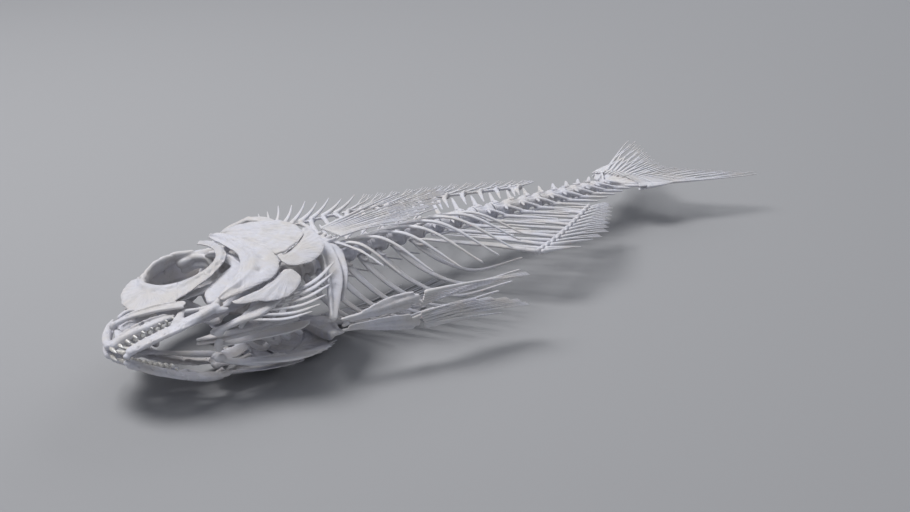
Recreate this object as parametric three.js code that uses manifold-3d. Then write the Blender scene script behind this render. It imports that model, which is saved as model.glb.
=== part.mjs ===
// Skeleton of a sea bream at life size, lying on its right side with the head towards -X.
// Millimetres, +Z up. Every bone is laid out first in the fish's own frame, where x runs
// tailwards from the tip of the snout, y towards the back and z towards the fish's left.
// lieDown() then lifts the flat midplane to where the widest bones rest on z = 0, and lets the
// stiff, dry column droop a little towards the tail.
import * as THREE from "three";
import { mergeVertices } from "three/addons/utils/BufferGeometryUtils.js";
import Module from "manifold-3d";

const wasm = await Module();
wasm.setup();

// ---------------------------------------------------------------- driving dimensions
const TOTAL_LENGTH = 350; // snout to the tips of the tail fin
const FORK_X = 326; // bottom of the tail's fork
const COLUMN_START = 86.4; // front of the first vertebra
const COLUMN_END = 280; // back of the last full vertebra
const HEAD_HALF_WIDTH = 21.5; // side to side, at the gill covers
const MID_HEIGHT = 21.8; // the midplane above the floor, from the snout to the ribs
const SAG_START = 140; // where the column starts to droop
const TAIL_HEIGHT = 18; // the midplane above the floor at the tips of the tail fin
const TAIL_MID_Y = 2; // the fork of the tail, in the side view
const SEAM = 0.3; // clear gap between two bones that touch
const SMALLEST = 0.18; // detail smaller than this is left out
const RAY_SIDES = 3; // of the spines and rays of the fins and the column
const ORBIT = { x: 45, y: 17, radius: 14 };
const PLATE = 1.2; // thickness of the plates on the side of the head
const VERTEBRAE = 23; // and a half one, which carries the tail's fan of plates
const TRUNK_VERTEBRAE = 10;
const FRONT_VERTEBRAE = 17; // the trunk's and those of the front length of the tail
const FIRST_RIB = 2; // on the third vertebra

const BONE = { skull: 0xd6d7de, plate: 0xdcdde4, column: 0xd2d3da, rib: 0xd9dae2, fin: 0xcfd0da };

// ---------------------------------------------------------------- small helpers
const vec = (x, y, z = 0) => new THREE.Vector3(x, y, z);
const radians = THREE.MathUtils.degToRad;

/** The value at t, from 0 to 1, on straight lines through evenly spaced samples. */
function through(samples, t) {
  const at = THREE.MathUtils.clamp(t, 0, 1) * (samples.length - 1);
  const i = Math.min(Math.floor(at), samples.length - 2);
  return THREE.MathUtils.lerp(samples[i], samples[i + 1], at - i);
}

/** Half the width of the head, from the midplane to its side, at a point of the side view. */
function headSide(x, y) {
  const forward = 1 - THREE.MathUtils.clamp(x / 80, 0, 1);
  const edge = ((y - 6) / 36) ** 4;
  return (HEAD_HALF_WIDTH * (1 - forward ** 1.8)) / Math.sqrt(1 + edge);
}

/** Height of the midplane above the floor. */
function midHeight(x) {
  const t = THREE.MathUtils.smoothstep(x, SAG_START, TOTAL_LENGTH);
  return THREE.MathUtils.lerp(MID_HEIGHT, TAIL_HEIGHT, t);
}

// ---------------------------------------------------------------- shapes
/** A long bone along a smooth line. wide is its half-thickness in the side view and deep the one
 *  from side to side, each as samples from the first end to the last. */
function bone(points, wide, deep, sides = 5, steps = 3) {
  const line = new THREE.CatmullRomCurve3(points.map((p) => vec(...p)));
  const shaft = new THREE.CylinderGeometry(1, 1, 1, sides, steps);
  const place = shaft.getAttribute("position");
  for (let i = 0; i < place.count; i++) {
    const t = place.getY(i) + 0.5;
    const along = line.getTangent(t);
    const sideways = vec(0, 0, 1).addScaledVector(along, -along.z).normalize();
    const upwards = new THREE.Vector3().crossVectors(along, sideways);
    const p = line.getPoint(t);
    p.addScaledVector(upwards, place.getX(i) * through(wide, t));
    p.addScaledVector(sideways, place.getZ(i) * through(deep, t));
    place.setXYZ(i, p.x, p.y, p.z);
  }
  return shaft;
}

function blob(centre, radii, sides = 10, rings = 6) {
  return new THREE.SphereGeometry(1, sides, rings).scale(...radii).translate(...centre);
}

/** A blade in the midplane, cut to an outline of [x, y] points. */
function blade(outline, thick) {
  const shape = new THREE.Shape(outline.map(([x, y]) => new THREE.Vector2(x, y)));
  const made = new THREE.ExtrudeGeometry(shape, { depth: thick, bevelEnabled: false });
  return made.translate(0, 0, -thick / 2);
}

/** A plate on the side of the head, between two edges that are smooth lines through [x, y] points.
 *  lift moves it out from the head's side. */
function plate(firstEdge, secondEdge, { lift = 0, rows = 6, columns = 1, thick = PLATE } = {}) {
  const edges = [firstEdge, secondEdge].map(
    (edge) => new THREE.SplineCurve(edge.map(([x, y]) => new THREE.Vector2(x, y))),
  );
  const made = new THREE.BoxGeometry(1, 1, 1, rows, columns, 1);
  const place = made.getAttribute("position");
  for (let i = 0; i < place.count; i++) {
    const [a, b] = edges.map((edge) => edge.getPoint(place.getX(i) + 0.5));
    const p = a.lerp(b, place.getY(i) + 0.5);
    place.setXYZ(i, p.x, p.y, headSide(p.x, p.y) + lift + thick * place.getZ(i));
  }
  return made;
}

/** A closed three.js geometry as a solid, with its faces pointing out. */
function solid(geometry) {
  geometry.deleteAttribute("normal");
  geometry.deleteAttribute("uv");
  const merged = mergeVertices(geometry, 1e-4);
  const place = merged.getAttribute("position");
  const corners = [];
  let volume = 0;
  for (let i = 0; i < merged.index.count; i += 3) {
    const face = [0, 1, 2].map((k) => merged.index.getX(i + k));
    if (new Set(face).size < 3) continue;
    const [a, b, c] = face.map((k) => new THREE.Vector3().fromBufferAttribute(place, k));
    volume += a.dot(b.cross(c));
    corners.push(face);
  }
  const outward = volume < 0 ? corners.map(([a, b, c]) => [a, c, b]) : corners;
  return new wasm.Manifold(
    new wasm.Mesh({
      numProp: 3,
      vertProperties: place.array,
      triVerts: new Uint32Array(outward.flat()),
    }),
  );
}

const join = (geometries) => geometries.map(solid).reduce((all, next) => all.add(next));

/** The same geometries on the fish's left (side = 1) or right (side = -1). */
const onSide = (side, geometries) => geometries.map((g) => g.clone().scale(1, 1, side));

const block = (from, to) => {
  const size = vec(...to).sub(vec(...from));
  const middle = vec(...from).addScaledVector(size, 0.5);
  return solid(new THREE.BoxGeometry(...size).translate(...middle));
};
const FAR = 500;
const UNDER_FLOOR = block([-FAR, -FAR, -FAR], [FAR, FAR, 0]);

/** The half of a solid on one side of the midplane, clear of the other half. */
const halfOf = (whole, side) => {
  const near = (side * SEAM) / 2;
  const limits = [near, side * FAR].sort((a, b) => a - b);
  return whole.intersect(block([-FAR, -FAR, limits[0]], [FAR, FAR, limits[1]]));
};

/** The vertices and triangles of a solid as a three.js geometry, moved by shift(x) in z. */
function geometryOf(made, shift = () => 0) {
  const { numProp, numVert, vertProperties, triVerts } = made.getMesh();
  const at = new Float32Array(numVert * 3);
  for (let i = 0; i < numVert; i++) {
    const [x, y, z] = vertProperties.subarray(i * numProp, i * numProp + 3);
    at.set([x, y, z + shift(x)], i * 3);
  }
  return new THREE.BufferGeometry()
    .setAttribute("position", new THREE.BufferAttribute(at, 3))
    .setIndex(new THREE.BufferAttribute(triVerts, 1));
}

/** Lays a solid down with the rest of the fish, and trims what would press into the floor to a flat. */
const lieDown = (made) => solid(geometryOf(made, midHeight)).subtract(UNDER_FLOOR).simplify(SMALLEST);

function mesh(name, colour, made) {
  const geometry = geometryOf(lieDown(made));
  geometry.computeVertexNormals();
  const material = new THREE.MeshStandardMaterial({ color: colour, roughness: 0.55, metalness: 0 });
  const named = new THREE.Mesh(geometry, material);
  named.name = name;
  return named;
}

/** Two meshes, NAME_left and NAME_right, from one function of the left side's geometries. */
const pair = (name, colour, geometries) =>
  [1, -1].map((side) =>
    mesh(`${name}_${side > 0 ? "left" : "right"}`, colour, join(onSide(side, geometries))),
  );

// ---------------------------------------------------------------- vertebral column
const COLUMN_LINE = new THREE.SplineCurve(
  [[COLUMN_START, 13], [135, 16], [185, 12.5], [235, 7], [COLUMN_END, 2.5]].map(
    ([x, y]) => new THREE.Vector2(x, y),
  ),
);
const NEURAL_HEIGHT = [24, 33, 34, 30, 25, 19.5, 15, 12.5, 10.5]; // tips above the column, head to tail
const HAEMAL_HEIGHT = [34, 34, 34, 34, 32, 25, 18.5, 14, 10.5]; // tips below it, in the tail
const SPINE_LEAN = [72, 66, 62, 58, 55, 52, 48, 42, 36]; // degrees up from the column
const SPINE_START = 0.38; // where on a vertebra its spine rises
const CENTRUM_RADIUS = [4.3, 4.4, 4.2, 3.7, 2.9];

const span = (from, to) => Array.from({ length: to - from }, (_, k) => from + k);

/** Where the column is at u, counted in vertebrae. Those in the middle are the longest. */
function columnAt(u) {
  const t = THREE.MathUtils.clamp(u / VERTEBRAE, 0, 1);
  const p = COLUMN_LINE.getPointAt(t - 0.04 * Math.sin(2 * Math.PI * t));
  return { x: p.x, y: p.y, radius: through(CENTRUM_RADIUS, t), t };
}

/** A point at a height above the column (below it with way = -1) on the line of a spine that rises
 *  from u. */
function slantAt(u, height, way = 1) {
  const { x, y, t } = columnAt(u);
  return [x + height / Math.tan(radians(through(SPINE_LEAN, t))), y + way * height];
}

/** The hourglass body of vertebra i. open moves its front and back ends in. */
function centrum(i, open = [0, 0]) {
  const [from, to] = [columnAt(i), columnAt(i + 1)];
  const half = Math.hypot(to.x - from.x, to.y - from.y) / 2 + 0.02;
  const profile = [
    [0, open[0] - half],
    [from.radius, open[0] - half],
    [0.66 * from.radius, 0],
    [to.radius, half - open[1]],
    [0, half - open[1]],
  ];
  return new THREE.LatheGeometry(profile.map(([r, h]) => new THREE.Vector2(r, h)), 6)
    .rotateZ(Math.atan2(to.y - from.y, to.x - from.x) - Math.PI / 2)
    .translate((from.x + to.x) / 2, (from.y + to.y) / 2, 0);
}

/** The arch over the cord (under the vessels with way = -1) and the spine that it runs into. */
function spine(i, way) {
  const heights = way > 0 ? NEURAL_HEIGHT : HAEMAL_HEIGHT;
  const u = i + SPINE_START;
  const tip = through(heights, i / VERTEBRAE);
  const { radius, t } = columnAt(u);
  const points = [radius * 0.5, tip * 0.36, tip].map((height) => [...slantAt(u, height, way), 0]);
  const foot = 1.6 * Math.sin(radians(through(SPINE_LEAN, t)));
  return bone(points, [foot, 1.15, 0.65], [2.5, 1.15, 0.75], RAY_SIDES, 2);
}

const RIB_DROP = [0, 0.14, 0.32, 0.6, 1]; // how far down each point of a rib is
const RIB_SPREAD = [0.06, 0.45, 0.8, 1, 0.42]; // and how far out
const RIB_DEPTH = [46, 54, 60, 62, 61, 58, 52, 44]; // head to tail
const RIB_HALF_WIDTH = [16.6, 17.8, 18.3, 18.4, 18.2, 17.2, 15.4, 13];
const RIB_SWEEP = [12, 15, 18, 20, 22, 24, 25, 24];

function rib(i) {
  const k = i - FIRST_RIB;
  const { x, y } = columnAt(i + 0.5);
  const points = RIB_DROP.map((drop, n) => [
    x + RIB_SWEEP[k] * drop ** 1.3,
    y - 1.2 - RIB_DEPTH[k] * drop,
    RIB_HALF_WIDTH[k] * RIB_SPREAD[n],
  ]);
  return bone(points, [1.7, 1.6, 1.4, 1.1, 0.6], [1, 0.95, 0.9, 0.8, 0.5], 4, 4);
}

/** The vertebrae from one index up to another, with their spines. The two ends stay clear of what
 *  comes next. */
const column = (from, to, ways) =>
  span(from, to).flatMap((i) => [
    centrum(i, [i === from ? SEAM / 2 : 0, i === to - 1 ? SEAM / 2 : 0]),
    ...ways.map((way) => spine(i, way)),
  ]);

function trunk() {
  const ribs = span(FIRST_RIB, TRUNK_VERTEBRAE).map(rib);
  return join([...column(0, TRUNK_VERTEBRAE, [1]), ...onSide(1, ribs), ...onSide(-1, ribs)]);
}

// ---------------------------------------------------------------- tail
const HYPURALS = 6;
const FAN_EDGE_X = 297;
const FAN_HALF_HEIGHT = 12;
const fanEdgeX = (offset) => FAN_EDGE_X - 0.02 * offset ** 2;

/** The fan of flat bones that carries the tail fin, on the last half vertebra. */
function tailPlates() {
  const { x, y, radius } = columnAt(VERTEBRAE);
  const plates = span(0, HYPURALS).map((k) => {
    const offset = THREE.MathUtils.lerp(-FAN_HALF_HEIGHT, FAN_HALF_HEIGHT, (k + 0.5) / HYPURALS);
    return bone([[x + 2.6, y, 0], [fanEdgeX(offset), TAIL_MID_Y + offset, 0]], [0.9, 2], [1.5, 0.8], 4, 1);
  });
  const stubEnds = [[x + SEAM, y + 0.2, 0], [x + 5, y - 0.3, 0]];
  const stub = bone(stubEnds, [radius - 1, 1.2], [radius - 1, 1.3], 6, 1);
  return join([stub, ...plates]);
}

const PRINCIPAL_RAYS = 8; // in each lobe
const SHORT_RAYS = 3; // along the edge of the stalk
const RAY_PITCH = 1.6;
const LOBE_HALF_SPREAD = 39;

/** One lobe of the tail fin, way = 1 for the upper. Its rays touch each other at the base. */
function tailLobe(way) {
  const rays = span(0, PRINCIPAL_RAYS + SHORT_RAYS).map((k) => {
    const s = Math.min(k / (PRINCIPAL_RAYS - 1), 1);
    const short = Math.max(0, k - PRINCIPAL_RAYS + 1);
    const offset = RAY_PITCH * (k - short + 0.75);
    const base = [fanEdgeX(offset) + 1.5 - 1.1 * short, offset + 1.15 * short];
    const reach = short ? 0.62 - 0.13 * short : 1;
    const tip = [
      base[0] + (FORK_X + (TOTAL_LENGTH - FORK_X) * s ** 1.2 - base[0]) * reach,
      base[1] + (1 + (LOBE_HALF_SPREAD - 1) * s - base[1]) * reach * (short ? 0.75 : 1),
    ];
    const ends = [base, tip].map(([x, y]) => [x, TAIL_MID_Y + way * y, 0]);
    return bone(ends, [1.2, 0.5], [1.1, 0.5], RAY_SIDES, 1);
  });
  return join(rays);
}

// ---------------------------------------------------------------- fins on the back and belly
/** The u whose slanting line passes through a point beyond the tips of the column's spines. */
function lineThrough([x, y], way) {
  const miss = (u) => Math.abs(slantAt(u, way * (y - columnAt(u).y), way)[0] - x);
  return span(0, VERTEBRAE * 50).reduce((best, n) => (miss(n / 50) < miss(best) ? n / 50 : best), 0);
}

/** That line moved away from the spines on either side of it, so that a bone can pass between. */
function betweenSpines(u) {
  const first = Math.floor(u - SPINE_START) + SPINE_START;
  return first + 0.5 + 0.46 * (u - first - 0.5);
}

/** A fin on the midline. Its supports reach down between the spines of the column and their heads
 *  meet in a row. Each carries a spine or ray that leans back by lean degrees. */
function medianFin({ base, count, way, spines, heights, depth, length, lean }, from, to) {
  const line = new THREE.SplineCurve(base.map(([x, y]) => new THREE.Vector2(x, y)));
  const bones = span(from, to).map((k) => {
    const t = k / (count - 1);
    const [p, ahead] = [line.getPoint(t), line.getTangent(t)];
    const u = betweenSpines(lineThrough([p.x, p.y], way));
    const top = through(heights, u / VERTEBRAE) + 1.5;
    const support = [top - through(depth, t), top].map((height) => [...slantAt(u, height, way), 0]);
    const angle = Math.atan2(ahead.y, ahead.x) + way * radians(through(lean, t));
    const size = through(length, t);
    const tip = [p.x + size * Math.cos(angle), p.y + size * Math.sin(angle), 0];
    const head = [p.x, p.y, 0];
    const stout = k < spines ? 1.2 : 0.95;
    return bone([...support, head, tip], [0.55, 0.85, stout, 0.5], [0.55, 0.8, stout, 0.5], RAY_SIDES, 3);
  });
  const [first, last] = [Math.max(from - 0.5, 0), Math.min(to - 0.65, count - 1)];
  const row = span(0, 6).map((k) => {
    const p = line.getPoint(THREE.MathUtils.lerp(first, last, k / 5) / (count - 1));
    return [p.x, p.y, 0];
  });
  return [...bones, bone(row, [1.3, 1.3], [1.2, 1.2], 4, 5)];
}

const DORSAL = {
  base: [[108, 55.5], [130, 57], [165, 53], [205, 42], [246, 27]],
  count: 24,
  spines: 11,
  way: 1,
  heights: NEURAL_HEIGHT,
  depth: [15, 18, 17, 14, 11, 8],
  length: [17, 31, 34, 31, 28, 25, 26, 24, 20, 13],
  lean: [48, 44, 40, 38, 36, 34, 32],
};
const ANAL = {
  base: [[186, -40], [206, -33.5], [227, -24.5], [247, -15.5]],
  count: 13,
  spines: 3,
  way: -1,
  heights: HAEMAL_HEIGHT,
  depth: [30, 21, 17, 14, 11, 8],
  length: [14, 21, 24, 22, 20, 17, 12],
  lean: [48, 42, 38, 34, 32],
};

const SUPRANEURALS = 2;

/** The slender bones in front of the fin on the back, hung from a forward run of its row of heads. */
function supraneurals() {
  const tops = span(0, SUPRANEURALS).map((k) => [97.5 + 5.5 * k, 54.6 + 0.6 * k, 0]);
  const shafts = tops.map(([x, y]) => bone([[x, y, 0], [x - 2.5, y - 20, 0]], [1.1, 0.5], [0.8, 0.5], 4, 1));
  return [...shafts, bone([tops[0], [...DORSAL.base[0], 0]], [1, 1.2], [0.9, 1.1], 4, 1)];
}

// ---------------------------------------------------------------- braincase
function braincase() {
  const roof = bone(
    [[13, 7, 0], [27, 22, 0], [39, 33.5, 0], [54, 38, 0], [70, 37, 0]],
    [1.8, 1.5, 1.4, 1.7, 3],
    [3.5, 6.4, 9.6, 12.2, 12.4],
    6,
    5,
  );
  const keel = bone(
    [[14, 3, 0], [34, 0.6, 0], [56, 2.5, 0], [70, 9, 0]],
    [2, 1.3, 1.3, 4],
    [3, 1.6, 1.8, 5],
    5,
    4,
  );
  const base = bone([[62, 12, 0], [COLUMN_START - SEAM / 2, 13, 0]], [7, 4.2], [7, 4.2], 7, 1);
  const crest = blade(
    [
      [50, 36], [60, 45], [69, 52], [78, 56.6], [86, 58],
      [86.6, 54], [84, 44], [81.5, 32], [76, 22], [66, 30],
    ],
    1.8,
  );
  const sides = [
    bone([[25, 14, 2], [29, 14, 8], [31, 13, 11.2]], [5, 3.4, 2], [2, 1.6, 1.4], 5, 2),
    bone([[55, 34, 7], [64, 28, 12.5], [82, 25, 11.5]], [2, 2.8, 1.4], [2, 2, 1.2], 5, 2),
    bone([[54, 38, 5], [68, 38, 9], [82, 32, 8]], [1.6, 2.4, 1.2], [1, 1, 1], 4, 2),
  ];
  return join([
    blob([72.5, 22, 0], [12.8, 15, 13.2], 8, 5),
    bone(
      [[59, 5, 0], [61.6, 14, 0], [60, 24, 0], [56, 34, 0]],
      [1.8, 1.4, 1.5, 2.4],
      [1.6, 1.3, 1.7, 3.4],
      4,
      2,
    ),
    blob([24, 11, 0], [7, 10.5, 6], 6, 4),
    blob([15.5, 6.5, 0], [6.5, 5, 5.4], 6, 4),
    roof,
    keel,
    base,
    crest,
    ...onSide(1, sides),
    ...onSide(-1, sides),
  ]);
}

// ---------------------------------------------------------------- jaws
/** A row of teeth down (way = -1) or up from a smooth line through points. */
function teeth(points, count, way, height, radius) {
  const line = new THREE.CatmullRomCurve3(points.map((p) => vec(...p)));
  return span(0, count).map((k) => {
    const t = (0.85 * k) / (count - 1);
    const p = line.getPoint(t);
    const size = through(height, t);
    return bone([[p.x, p.y, p.z], [p.x + 0.3, p.y + way * size, p.z]], [radius, 0.3], [radius, 0.3], 3, 1);
  });
}

const UPPER_GUM = [[3, -1.5, 1.6], [9, -4.5, 5.4], [17, -8, 8.6], [24, -11, 10.6]];
const LOWER_GUM = [[4, -8, 1.8], [11, -11.5, 5.4], [19, -14.5, 8.8]];

const premaxilla = () => [
  bone(
    [[2.2, -1, 1.7], [5, 6, 1.8], [11, 14, 1.9], [17, 20, 1.8]],
    [1.9, 1.7, 1.4, 0.8],
    [1.5, 1.4, 1.2, 0.8],
    4,
    3,
  ),
  bone(UPPER_GUM.map(([x, y, z]) => [x, y + 0.6, z]), [2.1, 2, 1.6, 1], [1.5, 1.5, 1.3, 0.9], 5, 3),
  ...teeth(UPPER_GUM.map(([x, y, z]) => [x, y - 0.6, z]), 5, -1, [3.4, 2.6, 2.2, 1.8], 0.9),
];

const maxilla = () => [
  bone(
    [[9, 6.4, 6.4], [13, 2.4, 9.2], [20, -3.5, 12], [29, -10.5, 14]],
    [1.6, 1.7, 2.4, 3.4],
    [0.8, 0.9, 0.9, 0.8],
    5,
    3,
  ),
];

const lowerJaw = () => [
  bone(
    [[3, -9.5, 1.9], [11, -14, 5.6], [22, -18, 10], [35, -20.6, 13.4]],
    [2, 3, 4.4, 2.2],
    [1.4, 1.4, 1.3, 1.5],
    6,
    4,
  ),
  bone([[22, -16, 10], [26.5, -11.6, 11.4]], [3, 1.4], [1, 0.8], 4, 1),
  ...teeth(LOWER_GUM, 4, 1, [3, 2.2, 1.8], 0.9),
];

// ---------------------------------------------------------------- cheek and gill cover
const inside = (x, y, depth) => [x, y, headSide(x, y) - depth];

/** The bones that hang the jaw from the braincase. */
const cheek = () => [
  bone([[65, 22, 15.2], [63, 10, 16.6], inside(59, -4, 3.4)], [4.4, 3.4, 2.6], [1.1, 1, 1], 5, 2),
  bone([inside(62, 0, 3.4), inside(50, -6, 3), inside(44, -8, 2.8)], [3.6, 5.6, 5], [0.8, 0.8, 0.9], 5, 2),
  bone([inside(46, -8, 2.8), inside(36.5, -14.6, 1.4)], [5.4, 1.8], [0.9, 1.4], 5, 1),
  bone([inside(46, -5, 2.8), [32, 0.5, 10.6], [21, 5, 8]], [3, 2.2, 1.5], [0.9, 0.8, 0.8], 5, 2),
];

/** The plates under and behind the eye: an arc round the orbit, deepest in front. */
function eyeRing() {
  const depth = [4, 11.5, 15.5, 12.5, 7.5, 5.2, 4.4, 4, 3.4, 3];
  const arc = (t, out) => {
    const angle = radians(THREE.MathUtils.lerp(152, 384, t));
    const r = ORBIT.radius + out;
    return [ORBIT.x + r * Math.cos(angle), ORBIT.y + r * Math.sin(angle)];
  };
  const steps = span(0, 11).map((k) => k / 10);
  const rim = steps.map((t) => arc(t, 0.4));
  const outer = steps.map((t) => arc(t, through(depth, t)));
  return [plate(rim, outer, { rows: 12, lift: 0.6 })];
}

const preopercle = () => [
  plate(
    [[64.5, 26], [63.6, 14], [61.5, 1], [53, -9.5], [38.5, -15.6]],
    [[69.5, 25], [71.5, 9], [70.4, -10], [61, -21], [39, -19.8]],
    { rows: 8, lift: 0.7, columns: 2 },
  ),
];

const opercle = () => [
  plate(
    [[70.6, 25.4], [72.8, 9], [71.4, -9.4]],
    [[85, 27.4], [95.6, 15.5], [91.4, -0.6], [76, -10.4]],
    { rows: 6, columns: 2 },
  ),
];

const subopercle = () => [
  plate(
    [[71.8, -12.2], [77.6, -11.3], [88.5, -4.6], [95, 5]],
    [[69.6, -19.4], [80, -20.6], [91.5, -14], [98, 1.6]],
    { rows: 5 },
  ),
];

const interopercle = () => [
  plate(
    [[44, -21.6], [53, -24], [61, -22.4], [69, -19.6]],
    [[44, -24.6], [54, -29.6], [62, -30.6], [70, -27]],
    { rows: 4 },
  ),
];

const GILL_RAYS = 5;

/** The hyoid bar inside the jaw, and the slender rays that sweep back from it. */
function gillRays() {
  const bar = bone([[35, -23.5, 7], [47, -27.4, 9.6], [61, -26, 12.4]], [2, 3.2, 2.6], [1.1, 1.3, 1.2], 5, 2);
  const rays = span(0, GILL_RAYS).map((k) => {
    const s = k / (GILL_RAYS - 1);
    const start = [44 + 15 * s, -28 + 1.5 * s, 8.6 + 3.4 * s];
    const end = [65 + 25 * s, -38.5 + 17 * s ** 1.5];
    const middle = [(start[0] + end[0]) / 2, (start[1] + end[1]) / 2 - 3];
    return bone(
      [start, inside(...middle, 2.8), inside(...end, 2.4)],
      [0.9, 1.2, 0.6],
      [0.7, 0.7, 0.5],
      3,
      2,
    );
  });
  return [bar, ...rays];
}

const ARCHES = 4;

/** The arches behind the hyoid, which meet on a bar along the floor of the mouth. */
const gillArches = () => [
  bone([[30, -15.5, 1.3], [50, -20.5, 1.4], [71, -22, 1.5]], [1.2, 1.2, 1.6], [1.1, 1.1, 1.1], 4, 2),
  ...span(0, ARCHES).map((k) =>
    bone(
      [
        [45 + 7 * k, -20 - 0.6 * k, 1.8],
        [58 + 5 * k, -16.4 - 1.2 * k, 11.4 - 0.9 * k],
        [70 + 2.6 * k, -4 - 0.6 * k, 12.6 - 1.1 * k],
        [66 + 3.2 * k, 4.5, 7.4 - 0.4 * k],
      ],
      [1, 1.1, 1, 0.7],
      [1, 1.1, 1, 0.7],
      3,
      4,
    ),
  ),
];

// ---------------------------------------------------------------- shoulder and hip girdles
const RADIALS = 4;

const shoulder = () => [
  bone(
    [[77, 39, 10.4], [84.5, 38.5, 15], [90.2, 30.6, 20.9], [94, 19, 19]],
    [1.4, 2.2, 2.7, 2],
    [1, 1, 1.1, 1],
    4,
    4,
  ),
  bone(
    [[92.4, 24, 19], [97, 8, 18.2], [95, -8, 17], [87, -24, 11.4], [73, -40, 3]],
    [2.2, 4.2, 5, 4.2, 1.6],
    [1, 1, 1.1, 1.1, 0.9],
    4,
    5,
  ),
  bone([[98, 3, 17.4], [99, -8, 16.4], [93, -24, 9.6]], [3.2, 3.6, 1.2], [0.8, 0.9, 0.8], 4, 2),
  ...span(0, RADIALS).map((k) =>
    bone([[99.5, 3 - 2.7 * k, 17.4], [104.4, 3.6 - 3.1 * k, 18]], [1.2, 1.4], [0.9, 0.9], 4, 1),
  ),
];

const PECTORAL_RAYS = 9;

function pectoralFin() {
  return span(0, PECTORAL_RAYS).map((k) => {
    const s = k / (PECTORAL_RAYS - 1);
    const base = [105.4, 4.6 - 11.2 * s, 18.6];
    const reach = through([50, 66, 62, 52, 42, 33, 25], s);
    const angle = radians(6 - 32 * s);
    const tip = [base[0] + reach * Math.cos(angle), base[1] + reach * Math.sin(angle) + 1];
    const middle = [(base[0] + tip[0]) / 2, (base[1] + tip[1]) / 2 - 0.8, 21.4];
    return bone([base, middle, [...tip, 21.2]], [0.9, 0.65, 0.5], [0.75, 0.6, 0.5], RAY_SIDES, 2);
  });
}

const hip = () => [
  bone([[76, -40.5, 3.4], [92, -45, 3.8], [107, -49, 5]], [1.1, 2.2, 2.4], [0.8, 1.2, 1.6], 5, 2),
  bone([[101, -48, 4.4], [113, -49.4, 3]], [1.8, 0.8], [1, 0.8], 4, 1),
];

const PELVIC_RAYS = 6;

function pelvicFin() {
  return span(0, PELVIC_RAYS).map((k) => {
    const s = k / (PELVIC_RAYS - 1);
    const base = [108.4 - 0.2 * k, -51.6 + 0.2 * k, 6.8 - 1.05 * k];
    const reach = through([34, 46, 44, 40, 34, 27], s);
    const angle = radians(-20 + 13 * s);
    const tip = [base[0] + reach * Math.cos(angle), base[1] + reach * Math.sin(angle), 7.4 - 5 * s];
    const middle = base.map((b, n) => (b + tip[n]) / 2 - (n === 1 ? 0.9 : 0));
    return bone([base, middle, tip], [k ? 0.8 : 1, 0.6, 0.5], [k ? 0.8 : 0.9, 0.55, 0.5], RAY_SIDES, 2);
  });
}

// ---------------------------------------------------------------- the skeleton
function group(name, meshes) {
  const made = new THREE.Group();
  made.name = name;
  made.add(...meshes);
  return made;
}

const trunkWhole = trunk();

const skeleton = new THREE.Group();
skeleton.add(
  group("head", [
    mesh("braincase", BONE.skull, braincase()),
    ...pair("premaxilla", BONE.skull, premaxilla()),
    ...pair("maxilla", BONE.skull, maxilla()),
    ...pair("lower_jaw", BONE.skull, lowerJaw()),
    ...pair("cheek", BONE.skull, cheek()),
    ...pair("eye_ring", BONE.plate, eyeRing()),
    ...pair("preopercle", BONE.plate, preopercle()),
    ...pair("opercle", BONE.plate, opercle()),
    ...pair("subopercle", BONE.plate, subopercle()),
    ...pair("interopercle", BONE.plate, interopercle()),
    ...pair("gill_rays", BONE.skull, gillRays()),
    ...pair("gill_arches", BONE.skull, gillArches()),
  ]),
  group("girdles", [
    ...pair("shoulder", BONE.skull, shoulder()),
    ...pair("pectoral_fin", BONE.fin, pectoralFin()),
    ...pair("hip", BONE.skull, hip()),
    ...pair("pelvic_fin", BONE.fin, pelvicFin()),
  ]),
  group("column", [
    mesh("trunk_left", BONE.column, halfOf(trunkWhole, 1)),
    mesh("trunk_right", BONE.column, halfOf(trunkWhole, -1)),
    mesh("tail_column_front", BONE.column, join(column(TRUNK_VERTEBRAE, FRONT_VERTEBRAE, [1, -1]))),
    mesh("tail_column_back", BONE.column, join(column(FRONT_VERTEBRAE, VERTEBRAE, [1, -1]))),
  ]),
  group("fins", [
    mesh(
      "dorsal_fin_spiny",
      BONE.fin,
      join([...supraneurals(), ...medianFin(DORSAL, 0, DORSAL.spines)]),
    ),
    mesh("dorsal_fin_soft", BONE.fin, join(medianFin(DORSAL, DORSAL.spines, DORSAL.count))),
    mesh("anal_fin", BONE.fin, join(medianFin(ANAL, 0, ANAL.count))),
    mesh("tail_plates", BONE.column, tailPlates()),
    mesh("tail_fin_upper", BONE.fin, tailLobe(1)),
    mesh("tail_fin_lower", BONE.fin, tailLobe(-1)),
  ]),
);

// The part's origin is on the floor, under the middle of its box.
const box = new THREE.Box3().setFromObject(skeleton);
const middle = box.getCenter(new THREE.Vector3());
skeleton.position.set(-middle.x, -middle.y, 0);

export default skeleton;
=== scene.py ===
"""Bleached skeleton of a sea bream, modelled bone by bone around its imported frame.

Bones are laid out in millimetres in the fish's own frame, where x runs tailwards from the
snout, y towards the back and z towards the fish's left. lay() then puts them down on the floor.
"""

import functools
import itertools
import math

import bpy
import numpy as np
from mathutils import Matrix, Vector


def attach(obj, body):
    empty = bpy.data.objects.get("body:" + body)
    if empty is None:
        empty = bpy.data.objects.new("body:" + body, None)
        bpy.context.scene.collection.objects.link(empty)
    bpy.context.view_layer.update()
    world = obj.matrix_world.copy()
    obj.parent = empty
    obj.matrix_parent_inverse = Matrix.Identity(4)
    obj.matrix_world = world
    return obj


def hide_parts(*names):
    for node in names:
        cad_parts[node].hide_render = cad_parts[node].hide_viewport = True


bl_info = {
    "name": "Sea Bream Skeleton",
    "version": (1, 0, 0),
    "blender": (4, 5, 0),
    "location": "View3D > Sidebar > Skeleton",
    "description": "The bones of a sea bream, laid out around its packed frame",
    "category": "Add Mesh",
}

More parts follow.
